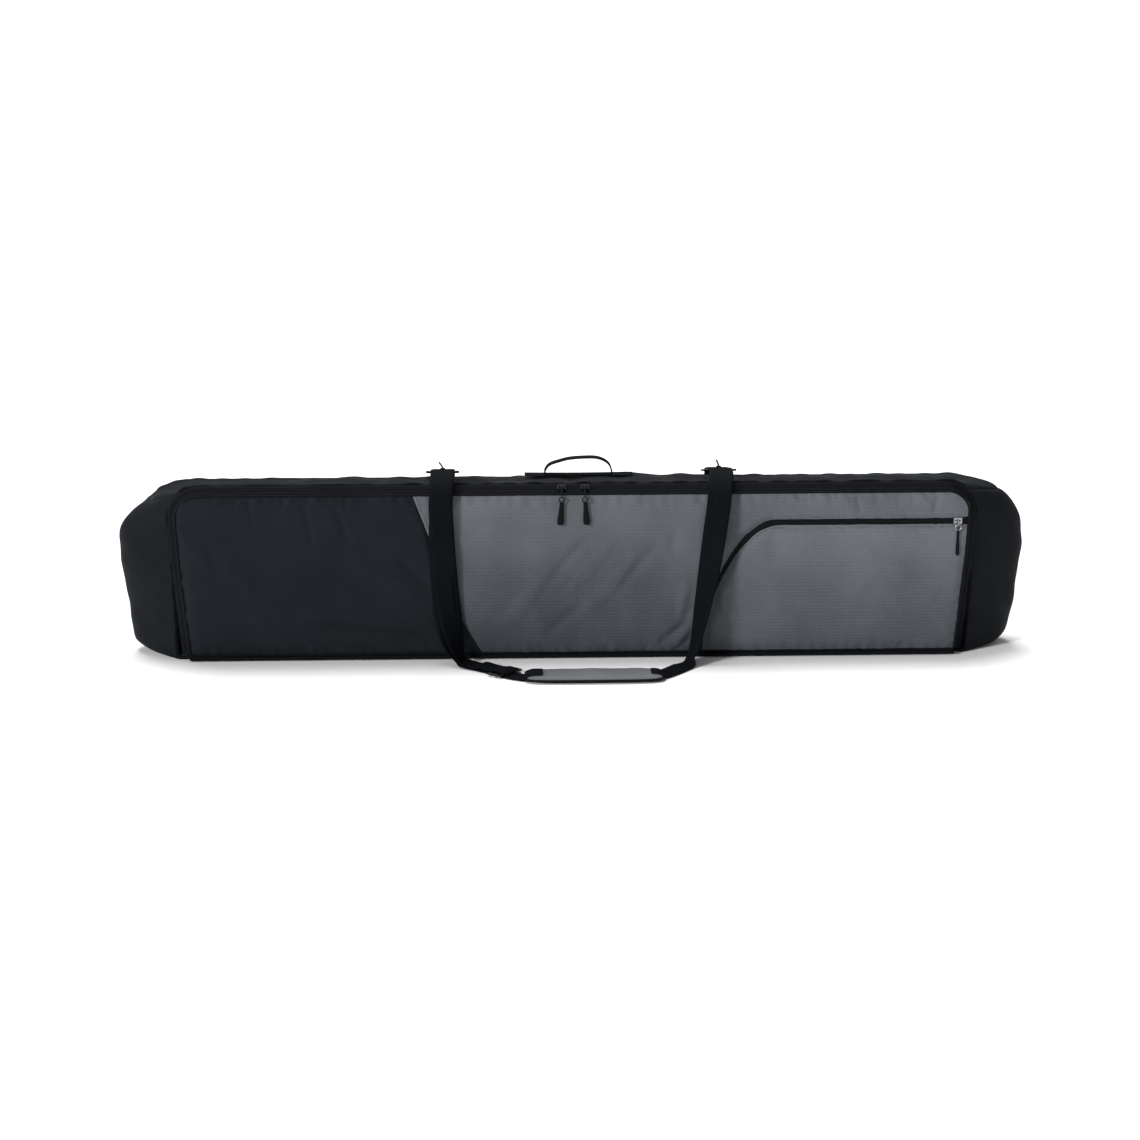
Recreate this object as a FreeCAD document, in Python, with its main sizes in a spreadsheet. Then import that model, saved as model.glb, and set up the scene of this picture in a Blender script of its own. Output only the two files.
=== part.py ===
import FreeCAD, Part
import math
import os
import re

from FreeCAD import Placement, Rotation, Vector

# Padded snowboard bag, standing on its long bottom edge, in millimetres.
#
# Frame: the origin is on the floor under the middle of the bag, +X runs along the bag towards its
# pocket end, -Y is the front that opens, +Z is up.
#
# The bag is a padded gusset ring (top, bottom and two flared end caps) with a padded back, closed in
# front by a padded lid. The lid hangs on a fabric hinge along the bottom front edge, and a zip with
# two sliders runs round its other three sides. A pocket with its own zip is sewn on the lid. The
# shoulder strap hangs from two D-rings on top, over the lid, and its pad lies on the floor.

os.makedirs("parts", exist_ok=True)
doc = FreeCAD.newDocument("SnowboardBag")

DIMENSIONS = {
    # fabric, foam and lining thicknesses
    "FabricThick": 1.2, "FoamThick": 6.0, "LiningThick": 0.8, "WebbingThick": 2.0,
    # lid outline, measured at its piping
    "LidTopHalf": 718.0, "LidMiddleHalf": 712.0, "LidBottomHalf": 696.0,
    "LidBottomHeight": 10.0, "LidMiddleHeight": 190.0, "LidTopHeight": 308.0,
    "LidCornerRadius": 42.0, "LidFrontDepth": 75.0,
    # gusset ring: the front edge follows the lid, the widest and back outlines flare out
    "BandRun": 16.0, "WidestDepth": 15.0, "WidestHalf": 825.0, "WidestBottomHalf": 778.0,
    "CrestHeight": 322.0, "BackDepth": 66.0, "BackHalf": 805.0, "BackBottomHalf": 768.0,
    "BackTopHeight": 306.0, "EndCornerRadius": 100.0, "EndSeamHeight": 268.0, "BottomSeamHalf": 690.0,
    # piping and the hinge along the bottom
    "PipingRadius": 2.2, "HingeRadius": 3.0, "HingeDepth": 78.0, "HingeHeight": 6.0,
    # zips
    "TapeThick": 1.0, "CoilRadius": 1.3, "CoilOffset": 2.2, "TapeInner": 3.6,
    "SliderLength": 15.0, "SliderWidth": 11.0, "SliderPlate": 1.6, "SliderGap": 2.2,
    "BailRise": 3.2, "BailRadius": 0.8, "EyeRadius": 2.2, "EyeWireRadius": 0.7,
    "PocketZipHeight": 252.0, "PocketZipStart": 352.0, "PocketZipEnd": 709.0, "PocketBandHalf": 6.5,
    "LeftSliderPlace": -22.0, "RightSliderPlace": 20.0, "PocketSliderPlace": 694.0,
    # zip pulls
    "PullRingRadius": 5.0, "PullWireRadius": 1.2, "PullTabWidth": 12.0, "PullTabThick": 3.5,
    "PullTabLength": 40.0, "PocketTabWidth": 7.0, "PocketTabLength": 46.0,
    # carry handle
    "HandleLeft": -50.0, "HandleRight": 72.0, "HandleDepth": 10.0, "HandleAxisHeight": 330.0,
    "HandleTopHeight": 357.0, "HandleWidth": 25.0, "HandleThick": 3.0, "HandleFootRadius": 4.0,
    # D-rings, snap hooks and shoulder strap
    "StrapWidth": 50.0, "RingWireRadius": 2.5, "RingDepth": 28.0, "RingBarDepth": 56.0,
    "RingBarHeight": 320.0, "HookTilt": 12.5, "HookRingRadius": 6.0, "HookWireRadius": 1.8,
    "LoopBarReach": 62.0, "LoopWireRadius": 2.0, "LeftStrapPlace": -236.0, "RightStrapPlace": 268.0,
    "DropDepth": 91.4, "DropFootHeight": 12.0, "LeftDropShift": 22.0, "RightDropShift": -30.0,
    "PadLength": 244.0, "PadWidth": 64.0, "PadMiddle": 32.0, "PadDepth": 207.0, "PadFoamThick": 6.0,
    "AdjusterLength": 58.0, "AdjusterWidth": 30.0, "AdjusterThick": 4.0,
    # tie-downs inside
    "TieDownPlace": 360.0, "TieDownWidth": 38.0,
}

sheet = doc.addObject("Spreadsheet::Sheet", "Dims")
for row, (alias, value) in enumerate(DIMENSIONS.items(), start=1):
    sheet.set(f"A{row}", alias)
    sheet.set(f"B{row}", str(value))
    sheet.setAlias(f"B{row}", alias)
doc.recompute()

SUBPARTS = []
ORIGIN = Vector(0, 0, 0)
X_AXIS, Y_AXIS, Z_AXIS = Vector(1, 0, 0), Vector(0, 1, 0), Vector(0, 0, 1)
GAP = 0.3  # running gap between soft neighbours


def dim(alias):
    """The value of a driving dimension, read back from the sheet."""
    return float(sheet.get(alias))


# ---------------------------------------------------------------- document helpers


def subpart(obj, name):
    """Marks a document object as one sub-part, whose Label names its STEP file."""
    obj.Label = name
    SUBPARTS.append(obj)
    return obj


def bind(obj, **expressions):
    """Binds properties of an object to expressions in which the sheet's aliases stand by themselves."""
    for prop, text in expressions.items():
        obj.setExpression(prop, re.sub(r"\b([A-Z][A-Za-z]+)\b", r"Dims.\1", text))
    return obj


def box(name, length, width, height, at):
    """A Part::Box whose sides are sheet expressions, with its lowest corner at a point."""
    obj = doc.addObject("Part::Box", name)
    bind(obj, Length=length, Width=width, Height=height)
    obj.Placement = Placement(Vector(*at), Rotation())
    return obj


def cylinder(name, radius, height, at, axis=Z_AXIS):
    """A Part::Cylinder from a point along an axis, its radius and height from the sheet."""
    obj = doc.addObject("Part::Cylinder", name)
    bind(obj, Radius=radius, Height=height)
    obj.Placement = Placement(Vector(*at), Rotation(Z_AXIS, axis))
    return obj


def fuse(name, *parts):
    obj = doc.addObject("Part::MultiFuse", name)
    obj.Shapes = list(parts)
    return obj


def cut(name, base, tool):
    obj = doc.addObject("Part::Cut", name)
    obj.Base, obj.Tool = base, tool
    return obj


def common(name, base, tool):
    obj = doc.addObject("Part::Common", name)
    obj.Base, obj.Tool = base, tool
    return obj


def feature(name, shape):
    """A Part::Feature for a shape that Part's own functions make."""
    obj = doc.addObject("Part::Feature", name)
    obj.Shape = shape
    return obj


def polygon(points):
    """The flat face inside a closed run of corners."""
    corners = [Vector(*point) for point in points]
    return Part.Face(Part.makePolygon([*corners, corners[0]]))


def extrusion(name, face, direction, length):
    """A Part::Extrusion of a face, its length a sheet expression."""
    base = feature(name + "Face", face)
    obj = doc.addObject("Part::Extrusion", name)
    obj.Base, obj.DirMode, obj.Dir, obj.Solid = base, "Custom", direction, True
    bind(obj, LengthFwd=length)
    return obj


def swept(name, path, radius, start, direction):
    """A Part::Sweep of a round section along a path."""
    spine = feature(name + "Path", path)
    ring = doc.addObject("Part::Circle", name + "Section")
    bind(ring, Radius=radius)
    ring.Placement = Placement(start, Rotation(Z_AXIS, direction))
    obj = doc.addObject("Part::Sweep", name)
    obj.Sections, obj.Spine, obj.Solid, obj.Frenet = [ring], (spine, []), True, False
    return obj


# ---------------------------------------------------------------- outlines


def inset_points(points, distance):
    """A convex outline's corners, given counter-clockwise, moved in from both their sides."""
    moved = []
    count = len(points)
    for i in range(count):
        before, here, after = (Vector(*points[(i + k) % count], 0) for k in (-1, 0, 1))
        first, second = (here - before).normalize(), (after - here).normalize()
        inward_first, inward_second = Vector(-first.y, first.x, 0), Vector(-second.y, second.x, 0)
        bisector = inward_first + inward_second
        corner = here + bisector * (distance / (1 + inward_first.dot(inward_second)))
        moved.append((corner.x, corner.y))
    return moved


def rounded_edges(points, radii, closed=True):
    """Straight edges joined by tangent arcs, through points, with a radius at each corner."""
    count = len(points)
    entries = []
    for i, here in enumerate(points):
        if not closed and i in (0, count - 1):
            entries.append((here, here, here))
            continue
        before, after = points[i - 1], points[(i + 1) % count]
        towards_before, towards_after = (before - here).normalize(), (after - here).normalize()
        half = towards_before.getAngle(towards_after) / 2
        reach = radii[i] / math.tan(half)
        middle = (towards_before + towards_after).normalize()
        bulge = here + middle * (radii[i] / math.sin(half) - radii[i])
        entries.append((here + towards_before * reach, bulge, here + towards_after * reach))
    edges = []
    for i in range(count if closed else count - 1):
        start, end = entries[i][2], entries[(i + 1) % count][0]
        if (end - start).Length > 1e-6:
            edges.append(Part.LineSegment(start, end).toShape())
        corner = entries[(i + 1) % count]
        if (corner[0] - corner[2]).Length > 1e-6:
            edges.append(Part.Arc(*corner).toShape())
    return edges


def outline(points, radii, depth, inset=0.0):
    """A closed rounded outline in the plane at Y = depth, from (x, z) corners."""
    corners = inset_points(points, inset) if inset else points
    sharp = [max(radius - inset, 0.5) for radius in radii]
    return Part.Wire(rounded_edges([Vector(x, depth, z) for x, z in corners], sharp))


def mirrored(right_side):
    """The corners of an outline from those of its right side, bottom to top, counter-clockwise."""
    return right_side + [(-x, z) for x, z in reversed(right_side)]


lid_bottom, lid_top = dim("LidBottomHeight"), dim("LidTopHeight")
lid_corners = mirrored([
    (dim("LidBottomHalf"), lid_bottom),
    (dim("LidMiddleHalf"), dim("LidMiddleHeight")),
    (dim("LidTopHalf"), lid_top),
])
lid_radii = [6, 400, dim("LidCornerRadius"), dim("LidCornerRadius"), 400, 6]
lid_front = -dim("LidFrontDepth")
band_start = lid_front + 1.0
ring_front = band_start + dim("BandRun")


def lid_outline(depth, outset=0.0):
    return outline(lid_corners, lid_radii, depth, -outset)


# ---------------------------------------------------------------- gusset ring and back

front_corners = [(x, max(z, 0.0)) for x, z in inset_points(lid_corners, -dim("BandRun"))]
front_corners[0] = (front_corners[0][0], 0.0)
front_corners[-1] = (front_corners[-1][0], 0.0)
front_radii = [r + dim("BandRun") for r in lid_radii]
widest_corners = mirrored([
    (dim("WidestBottomHalf"), 0.0),
    (dim("WidestHalf"), dim("LidMiddleHeight")),
    (dim("WidestHalf") - 14, dim("CrestHeight")),
])
back_corners = mirrored([
    (dim("BackBottomHalf"), 0.0),
    (dim("BackHalf"), dim("LidMiddleHeight")),
    (dim("BackHalf") - 14, dim("BackTopHeight")),
])
end_radii = [30, 80, dim("EndCornerRadius"), dim("EndCornerRadius"), 80, 30]


def ring_core(inset):
    """The solid inside the gusset ring's surface, moved in by a distance."""
    wires = [
        outline(front_corners, front_radii, ring_front, inset),
        outline(widest_corners, end_radii, dim("WidestDepth"), inset),
        outline(back_corners, end_radii, dim("BackDepth"), inset),
    ]
    return Part.makeLoft(wires, True, True)


skin, foam, lining = dim("FabricThick"), dim("FoamThick"), dim("LiningThick")
wall = skin + foam + lining
layers = {"Skin": (0, skin), "Foam": (skin, skin + foam), "Lining": (skin + foam, wall)}
rings = {
    name: feature("Ring" + name, ring_core(outer).cut(ring_core(inner)))
    for name, (outer, inner) in layers.items()
}

SIDE, DEEP = 1000.0, 400.0
seam = dim("EndSeamHeight")
bottom_half = dim("BottomSeamHalf")
ring_zones = {
    "top": ("2*1000", "EndSeamHeight", (-SIDE, -DEEP / 2, seam)),
    "left": ("1000-BottomSeamHalf", "EndSeamHeight", (-SIDE, -DEEP / 2, 0)),
    "right": ("1000-BottomSeamHalf", "EndSeamHeight", (bottom_half, -DEEP / 2, 0)),
}
zone_names = {
    "Skin": {"top": "top_gusset", "left": "left_end_cap", "right": "right_end_cap"},
    "Foam": {zone: f"{zone}_gusset_foam" for zone in ring_zones},
}
for layer, names in zone_names.items():
    for zone, name in names.items():
        length, height, at = ring_zones[zone]
        tool = box(f"{zone}{layer}Zone", length, "400", height, at)
        subpart(common(name.title(), rings[layer], tool), name)
subpart(rings["Lining"], "gusset_lining")
ring_depth = dim("BackDepth") - ring_front
floor_sides = ("2*BottomSeamHalf", f"{ring_depth}")
subpart(box("BottomGusset", *floor_sides, "FabricThick", (-bottom_half, ring_front, 0)), "bottom_gusset")
bottom_foam = box("BottomFoam", *floor_sides, "FoamThick", (-bottom_half, ring_front, skin))
subpart(bottom_foam, "bottom_gusset_foam")

back_face = Part.Face(outline(back_corners, end_radii, dim("BackDepth")))
subpart(extrusion("BackLining", back_face, Y_AXIS, "LiningThick"), "back_lining")
back_foam_face = back_face.translated(Y_AXIS * lining)
subpart(extrusion("BackFoam", back_foam_face, Y_AXIS, "FoamThick+1"), "back_foam")
back_skin_face = back_face.translated(Y_AXIS * (lining + foam + 1))
subpart(extrusion("BackPanel", back_skin_face, Y_AXIS, "FabricThick"), "back_panel")
back_plane = dim("BackDepth") + lining + foam + 1 + skin


def closed_piping(name, corners, radii, depth, inset):
    """A round cord that follows a closed outline, starting half-way along its bottom."""
    middle = Vector(0, depth, inset_points(corners, inset)[0][1])
    moved = [Vector(x, depth, z) for x, z in inset_points(corners, inset)]
    sharp = [max(r - inset, 3.0) for r in radii]
    edges = rounded_edges([middle, *moved, middle], [0, *sharp, 0], closed=False)
    return swept(name, Part.Wire(edges), "PipingRadius", middle, X_AXIS)


piping = dim("PipingRadius")
subpart(
    closed_piping("BackPiping", back_corners, end_radii, back_plane + piping + 0.1, piping + 0.3),
    "back_piping",
)

# ---------------------------------------------------------------- hinge along the bottom front edge

hinge_half = dim("LidBottomHalf")
hinge_depth, hinge_height = -dim("HingeDepth"), dim("HingeHeight")
subpart(
    cylinder(
        "HingePiping", "HingeRadius", "2*LidBottomHalf", (-hinge_half, hinge_depth, hinge_height), X_AXIS
    ),
    "hinge_piping",
)
strip_front = hinge_depth + dim("HingeRadius") + 0.1
strip_width = f"{ring_front - 0.1 - strip_front}"
strip = box("HingeStrip", "2*LidBottomHalf", strip_width, "7", (-hinge_half, strip_front, 0))
subpart(strip, "hinge_strip")

# ---------------------------------------------------------------- lid

lid_face = Part.Face(lid_outline(lid_front))
lid_skin = extrusion("LidSkin", lid_face, Y_AXIS, "FabricThick")


def front_prism(name, corners, radii=None):
    """A tool that covers a region of the lid's face, given by its (x, z) corners."""
    radii = radii or [0] * len(corners)
    vectors = [Vector(x, lid_front - 5, z) for x, z in corners]
    if any(radii):
        wire = Part.Wire(rounded_edges(vectors, radii))
    else:
        wire = Part.makePolygon([*vectors, vectors[0]])
    return extrusion(name, Part.Face(wire), Y_AXIS, "20")


SEAM_TOP, SEAM_BOTTOM = (-290.0, 320.0), (-157.0, 0.0)  # the slanting seam between dark and grey
dark_zone = front_prism("DarkZone", [(-800, 0), SEAM_BOTTOM, SEAM_TOP, (-800, 320)])
subpart(common("LidDarkPanel", lid_skin, dark_zone), "lid_dark_panel")

zip_height, band_half = dim("PocketZipHeight"), dim("PocketBandHalf")
POCKET_FOOT, POCKET_KNEE = 229.0, (266.0, 158.0)  # where the pocket's curved edge starts and bends


def pocket_zone(name, top, shift):
    """The region under the pocket's zip; its edge rises from the bottom seam and curves to the zip."""
    corners = [
        (POCKET_FOOT - shift, -20),
        (800, -20),
        (800, top),
        (340.0 - shift, top),
        (POCKET_KNEE[0] - shift, POCKET_KNEE[1]),
    ]
    return front_prism(name, corners, [1, 1, 1, 70, 120])


pocket_lower = pocket_zone("PocketLowerZone", zip_height - band_half, 0)
pocket_upper = pocket_zone("PocketUpperZone", zip_height + band_half, 5)
rest_of_lid = cut("LidWithoutDark", lid_skin, dark_zone)
subpart(cut("LidGreyPanel", rest_of_lid, pocket_upper), "lid_grey_panel")
subpart(common("PocketPanel", lid_skin, pocket_lower), "pocket_panel")

zip_start, zip_end = dim("PocketZipStart"), dim("PocketZipEnd")
slot_half = dim("TapeInner")
zip_band = cut("PocketBand", common("PocketBandAll", lid_skin, pocket_upper), pocket_lower)
slot = box(
    "PocketSlot", "PocketZipEnd-PocketZipStart", "20", "2*TapeInner",
    (zip_start, lid_front - 5, zip_height - slot_half),
)
subpart(cut("PocketZipTape", zip_band, slot), "pocket_zip_tape")

coil_offset = dim("CoilOffset")
tape_middle = lid_front + skin / 2
coils = [
    cylinder(
        f"PocketCoil{side}", "CoilRadius", "PocketZipEnd-PocketZipStart-2",
        (zip_start + 1, tape_middle, zip_height + sign * coil_offset), X_AXIS,
    )
    for side, sign in (("Upper", 1), ("Lower", -1))
]
coil_pair = doc.addObject("Part::Compound", "PocketZipCoil")
coil_pair.Links = coils
subpart(coil_pair, "pocket_zip_coil")

foam_front = lid_front + skin + 1.0
lid_foam_all = extrusion("LidFoamAll", Part.Face(lid_outline(foam_front)), Y_AXIS, "FoamThick")
groove = box(
    "PocketGroove", "PocketZipEnd-PocketZipStart+8", "3", "16",
    (zip_start - 4, foam_front - 0.2, zip_height - 8),
)
subpart(cut("LidFoam", lid_foam_all, groove), "lid_foam")
lining_front = foam_front + foam
subpart(extrusion("LidLining", Part.Face(lid_outline(lining_front)), Y_AXIS, "LiningThick"), "lid_lining")
backing_face = common(
    "PocketBackingZone",
    extrusion("PocketBackingAll", Part.Face(lid_outline(lid_front + skin + 0.1)), Y_AXIS, "LiningThick"),
    box("PocketBackingCut", "500", "20", f"{zip_height - 10}", (270, lid_front - 5, 0)),
)
subpart(backing_face, "pocket_backing")
subpart(
    closed_piping("LidPiping", lid_corners, lid_radii, lid_front - piping - 0.1, piping + 0.3),
    "lid_piping",
)

# ---------------------------------------------------------------- main zip, round three sides of the lid

ROOT2 = math.sqrt(2)
half_run = dim("BandRun") / 2
zip_foot = 14.0  # height at which the zip's two legs end


def band_ring(name, from_outset, to_outset):
    """Zip tape on the slope round the lid: depth grows as much as the outset from the lid's edge."""
    half_thick = dim("TapeThick") / 2 * ROOT2
    sides = []
    for shift in (half_thick, -half_thick):
        near = lid_outline(band_start + from_outset, from_outset + shift)
        far = lid_outline(band_start + to_outset, to_outset + shift)
        sides.append(Part.makeLoft([near, far], True, True))
    ring = feature(name + "Ring", sides[0].cut(sides[1]))
    above = box(name + "Above", "2*1000", "400", "400", (-SIDE, -DEEP / 2, zip_foot - 2))
    return common(name, ring, above)


tape_edge = (dim("TapeInner") + dim("TapeThick") / 2) / ROOT2
subpart(band_ring("ZipTapeLid", 1.0, half_run - tape_edge), "zip_tape_lid")
subpart(band_ring("ZipTapeBody", half_run + tape_edge, dim("BandRun") - 0.1), "zip_tape_body")


def coil_row(name, outset):
    """One row of zip coil: a round bar up one side of the lid, across and down the other."""
    depth = band_start + outset
    corners = inset_points(lid_corners, -outset)
    low, middle = corners[0], corners[1]
    share = (zip_foot - low[1]) / (middle[1] - low[1])
    foot = low[0] + share * (middle[0] - low[0])
    path = [(foot, zip_foot), *corners[1:-1], (-foot, zip_foot)]
    radii = [0] + [r + outset for r in lid_radii[1:-1]] + [0]
    points = [Vector(x, depth, z) for x, z in path]
    wire = Part.Wire(rounded_edges(points, radii, closed=False))
    return swept(name, wire, "CoilRadius", points[0], points[1] - points[0])


coil_step = coil_offset / ROOT2
subpart(coil_row("ZipCoilLid", half_run - coil_step), "zip_coil_lid")
subpart(coil_row("ZipCoilBody", half_run + coil_step), "zip_coil_body")

ZIP_DEPTH = band_start + half_run
ZIP_HEIGHT = lid_top + half_run
bail_height = dim("SliderGap") + dim("SliderPlate") + dim("BailRise")


def slider(name, place):
    """A zip slider: two plates joined by a post between the coil rows, with skirts and a bail.

    It is built flat, its plates facing Z and its travel along X, then placed on its zip.
    """
    wide, long, plate, gap = "SliderWidth", "SliderLength", "SliderPlate", "SliderGap"
    half_wide, half_long = dim(wide) / 2, dim(long) / 2
    thick, clear = dim(plate), dim(gap)
    skirt = 0.8
    top = box(name + "Top", long, wide, plate, (-half_long, -half_wide, clear))
    under = box(name + "Under", long, wide, plate, (-half_long, -half_wide, -clear - thick))
    post = box(name + "Post", "4", "1", "2*SliderGap", (-2, -0.5, -clear))
    skirts = [
        box(f"{name}Skirt{i}", long, f"{skirt}", "1.3", (-half_long, y, z))
        for i, (y, z) in enumerate(
            (y, z) for y in (-half_wide, half_wide - skirt) for z in (clear - 1.3, -clear)
        )
    ]
    bail_feet = [
        box(f"{name}Bail{i}", "2", "2", "BailRise+BailRadius", (x, -1, clear + thick))
        for i, x in enumerate((-5, 3))
    ]
    bail_bar = cylinder(name + "BailBar", "BailRadius", "9", (-4.5, 0, bail_height), X_AXIS)
    obj = fuse(name, top, under, post, *skirts, *bail_feet, bail_bar)
    obj.Placement = place
    return obj


def pull(name, label, hang, drop, tab_width, tab_length):
    """A zip pull: a wire link with an eye round the slider's bail and a ring, and a tab on the ring.

    hang is the middle of the bail's bar, drop the ring's middle.
    """
    ring = doc.addObject("Part::Torus", name + "Ring")
    bind(ring, Radius1="PullRingRadius", Radius2="PullWireRadius")
    ring.Placement = Placement(drop, Rotation(Z_AXIS, Y_AXIS))
    radius = dim("PullRingRadius")
    top = drop + Z_AXIS * radius
    span = hang - top
    bar = cylinder(name + "Bar", "PullWireRadius", f"{span.Length}-EyeRadius", tuple(top), span)
    eye = doc.addObject("Part::Torus", name + "Eye")
    bind(eye, Radius1="EyeRadius", Radius2="EyeWireRadius")
    eye.Placement = Placement(hang, Rotation(Z_AXIS, X_AXIS))
    subpart(fuse(name + "Link", ring, bar, eye), f"{label}_link")
    width, thick = dim(tab_width), dim("PullTabThick")
    low = drop - Z_AXIS * (radius + dim("PullWireRadius") + 0.2 + dim(tab_length))
    corner = (low.x - width / 2, low.y - thick / 2, low.z)
    tab = box(name + "Tab", tab_width, "PullTabThick", tab_length, corner)
    rounded = doc.addObject("Part::Fillet", name + "TabRounded")
    rounded.Base = tab
    doc.recompute()
    rounded.Edges = [(i + 1, 1.2, 1.2) for i in range(len(tab.Shape.Edges))]
    subpart(rounded, f"{label}_tab")


slope = Rotation(X_AXIS, 45)
for side, cell in (("Left", "LeftSliderPlace"), ("Right", "RightSliderPlace")):
    on_zip = Vector(dim(cell), ZIP_DEPTH, ZIP_HEIGHT)
    subpart(slider(f"Slider{side}", Placement(on_zip, slope)), f"zip_slider_{side.lower()}")
    bail = on_zip + slope.multVec(Vector(0, 0, bail_height))
    hanging = Vector(dim(cell), lid_front - 9.5, lid_top - 10)
    pull(f"Pull{side}", f"zip_pull_{side.lower()}", bail, hanging, "PullTabWidth", "PullTabLength")

on_pocket = Vector(dim("PocketSliderPlace"), tape_middle, zip_height)
upright = Rotation(X_AXIS, 90)
subpart(slider("PocketSlider", Placement(on_pocket, upright)), "pocket_slider")
pocket_bail = on_pocket + upright.multVec(Vector(0, 0, bail_height))
pocket_ring = pocket_bail + Vector(0, -1.5, -11)
pull("PocketPull", "pocket_pull", pocket_bail, pocket_ring, "PocketTabWidth", "PocketTabLength")

# ---------------------------------------------------------------- carry handle


def ribbon(name, points, radii, width, thick, across):
    """A flat strip of webbing whose middle line runs through points, its width along an axis."""
    path = Part.Wire(rounded_edges(points, radii, closed=False))
    along = (points[1] - points[0]).normalize()
    up = along.cross(across).normalize() * (thick / 2)
    side = across * (width / 2)
    start = points[0]
    corners = [start - side - up, start + side - up, start + side + up, start - side + up]
    profile = Part.makePolygon([*corners, corners[0]])
    pipe = Part.Wire(path).makePipeShell([profile], True, False)
    return feature(name, pipe)


handle_depth, axis_height = dim("HandleDepth"), dim("HandleAxisHeight")
left_foot, right_foot, peak = dim("HandleLeft"), dim("HandleRight"), dim("HandleTopHeight")
LEG = 10.0  # narrow leg between each foot and the full-width webbing
shoulder = axis_height + LEG
arch_points = [
    Vector(left_foot, handle_depth, shoulder - 1),
    Vector(left_foot, handle_depth, peak - 1.5),
    Vector(right_foot, handle_depth, peak - 1.5),
    Vector(right_foot, handle_depth, shoulder - 1),
]
arch = ribbon("HandleArch", arch_points, [0, 14, 14, 0], dim("HandleWidth"), dim("HandleThick"), Y_AXIS)
feet = []
for side, foot in (("Left", left_foot), ("Right", right_foot)):
    eye_start = (foot - dim("HandleThick") / 2, handle_depth, axis_height)
    feet.append(cylinder(f"HandleEye{side}", "HandleFootRadius", "HandleThick", eye_start, X_AXIS))
    leg_at = (foot - dim("HandleThick") / 2, handle_depth - dim("HandleFootRadius"), axis_height)
    feet.append(box(f"HandleLeg{side}", "HandleThick", "2*HandleFootRadius", f"{LEG}", leg_at))
subpart(fuse("CarryHandle", arch, *feet), "carry_handle")

patch_height = dim("CrestHeight") + 0.7
patches = []
for side, at in (("Left", left_foot - 35), ("Right", right_foot + 3)):
    spot = (at, handle_depth - 13, patch_height)
    patches.append(box(f"HandlePatch{side}", "32", "26", "HandleThick", spot))
patch_pair = doc.addObject("Part::Compound", "HandlePatches")
patch_pair.Links = patches
subpart(patch_pair, "handle_patches")

# ---------------------------------------------------------------- D-rings, snap hooks and strap ends

ring_axis = Vector(0, dim("RingBarDepth"), dim("RingBarHeight"))
tilt = Rotation(X_AXIS, -dim("HookTilt"))
strap_half = dim("StrapWidth") / 2
wire = dim("RingWireRadius")
reach = dim("LoopBarReach")


def strap_place(x):
    """Puts hardware that was built with its D-ring bar along X at the origin and its chain along -Y."""
    return Placement(Vector(x, ring_axis.y, ring_axis.z), tilt)


def d_ring(name, x):
    half, depth = strap_half + wire, dim("RingDepth")
    middle = ORIGIN
    bends = [(half, 0), (half, -depth), (-half, -depth), (-half, 0)]
    points = [middle, *(Vector(bx, by, 0) for bx, by in bends), middle]
    path = Part.Wire(rounded_edges(points, [0, 3.5, 20, 20, 3.5, 0], closed=False))
    obj = swept(name, path, "RingWireRadius", middle, X_AXIS)
    obj.Placement = strap_place(x)
    return obj


hook_middle = -(dim("RingDepth") + 0.5)
shank_start = hook_middle - dim("HookRingRadius")
GATE_PIN = Vector(0, hook_middle - 8.5, 6.0)


def snap_hook(name, x):
    """The hook's claw round the D-ring, its shank and the head that turns in the strap loop's collar."""
    claw = doc.addObject("Part::Torus", name + "Claw")
    bind(claw, Radius1="HookRingRadius", Radius2="HookWireRadius")
    claw.Angle3 = 240
    claw.Placement = Placement(Vector(0, hook_middle, 0), Rotation(-Y_AXIS, -Z_AXIS, X_AXIS, "XYZ"))
    body = box(name + "Body", "9", "8", "7", (-4.5, shank_start - 7, -3.5))
    shank = cylinder(name + "Shank", "2.6", "8", (0, shank_start - 6.5, 0), -Y_AXIS)
    head = cylinder(name + "Head", "4.2", "2.4", (0, shank_start - 14.4, 0), -Y_AXIS)
    ears = [
        box(f"{name}Ear{i}", "1.6", "6", "4.5", (ex, GATE_PIN.y - 3, 3))
        for i, ex in enumerate((-4.5, 2.9))
    ]
    pin = cylinder(name + "Pin", "1", "9", (-4.5, GATE_PIN.y, GATE_PIN.z), X_AXIS)
    obj = fuse(name, claw, body, shank, head, *ears, pin)
    obj.Placement = strap_place(x)
    return obj


def hook_gate(name, x, lean):
    """The sprung gate: a sleeve on the hook's pin, a finger over the claw's mouth and a thumb tab."""
    sleeve = cylinder(name + "Sleeve", "2", "5", (-2.5, GATE_PIN.y, GATE_PIN.z), X_AXIS)
    finger = box(name + "Finger", "4", "10.5", "1.8", (-2, GATE_PIN.y, GATE_PIN.z - 1.4))
    stub = box(name + "Stub", "3.4", "3", "3", (-1.7, GATE_PIN.y - 1.5, GATE_PIN.z))
    thumb = box(name + "Thumb", "3", "3", "11", (0, 0, 0))
    thumb.Placement = Placement(GATE_PIN + Vector(-1.5, -1.5, 2.2), Rotation(Y_AXIS, lean))
    bore = cylinder(name + "Bore", "1.08", "12", (-6, GATE_PIN.y, GATE_PIN.z), X_AXIS)
    obj = cut(name, fuse(name + "Solid", sleeve, finger, stub, thumb), bore)
    obj.Placement = strap_place(x)
    return obj


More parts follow.
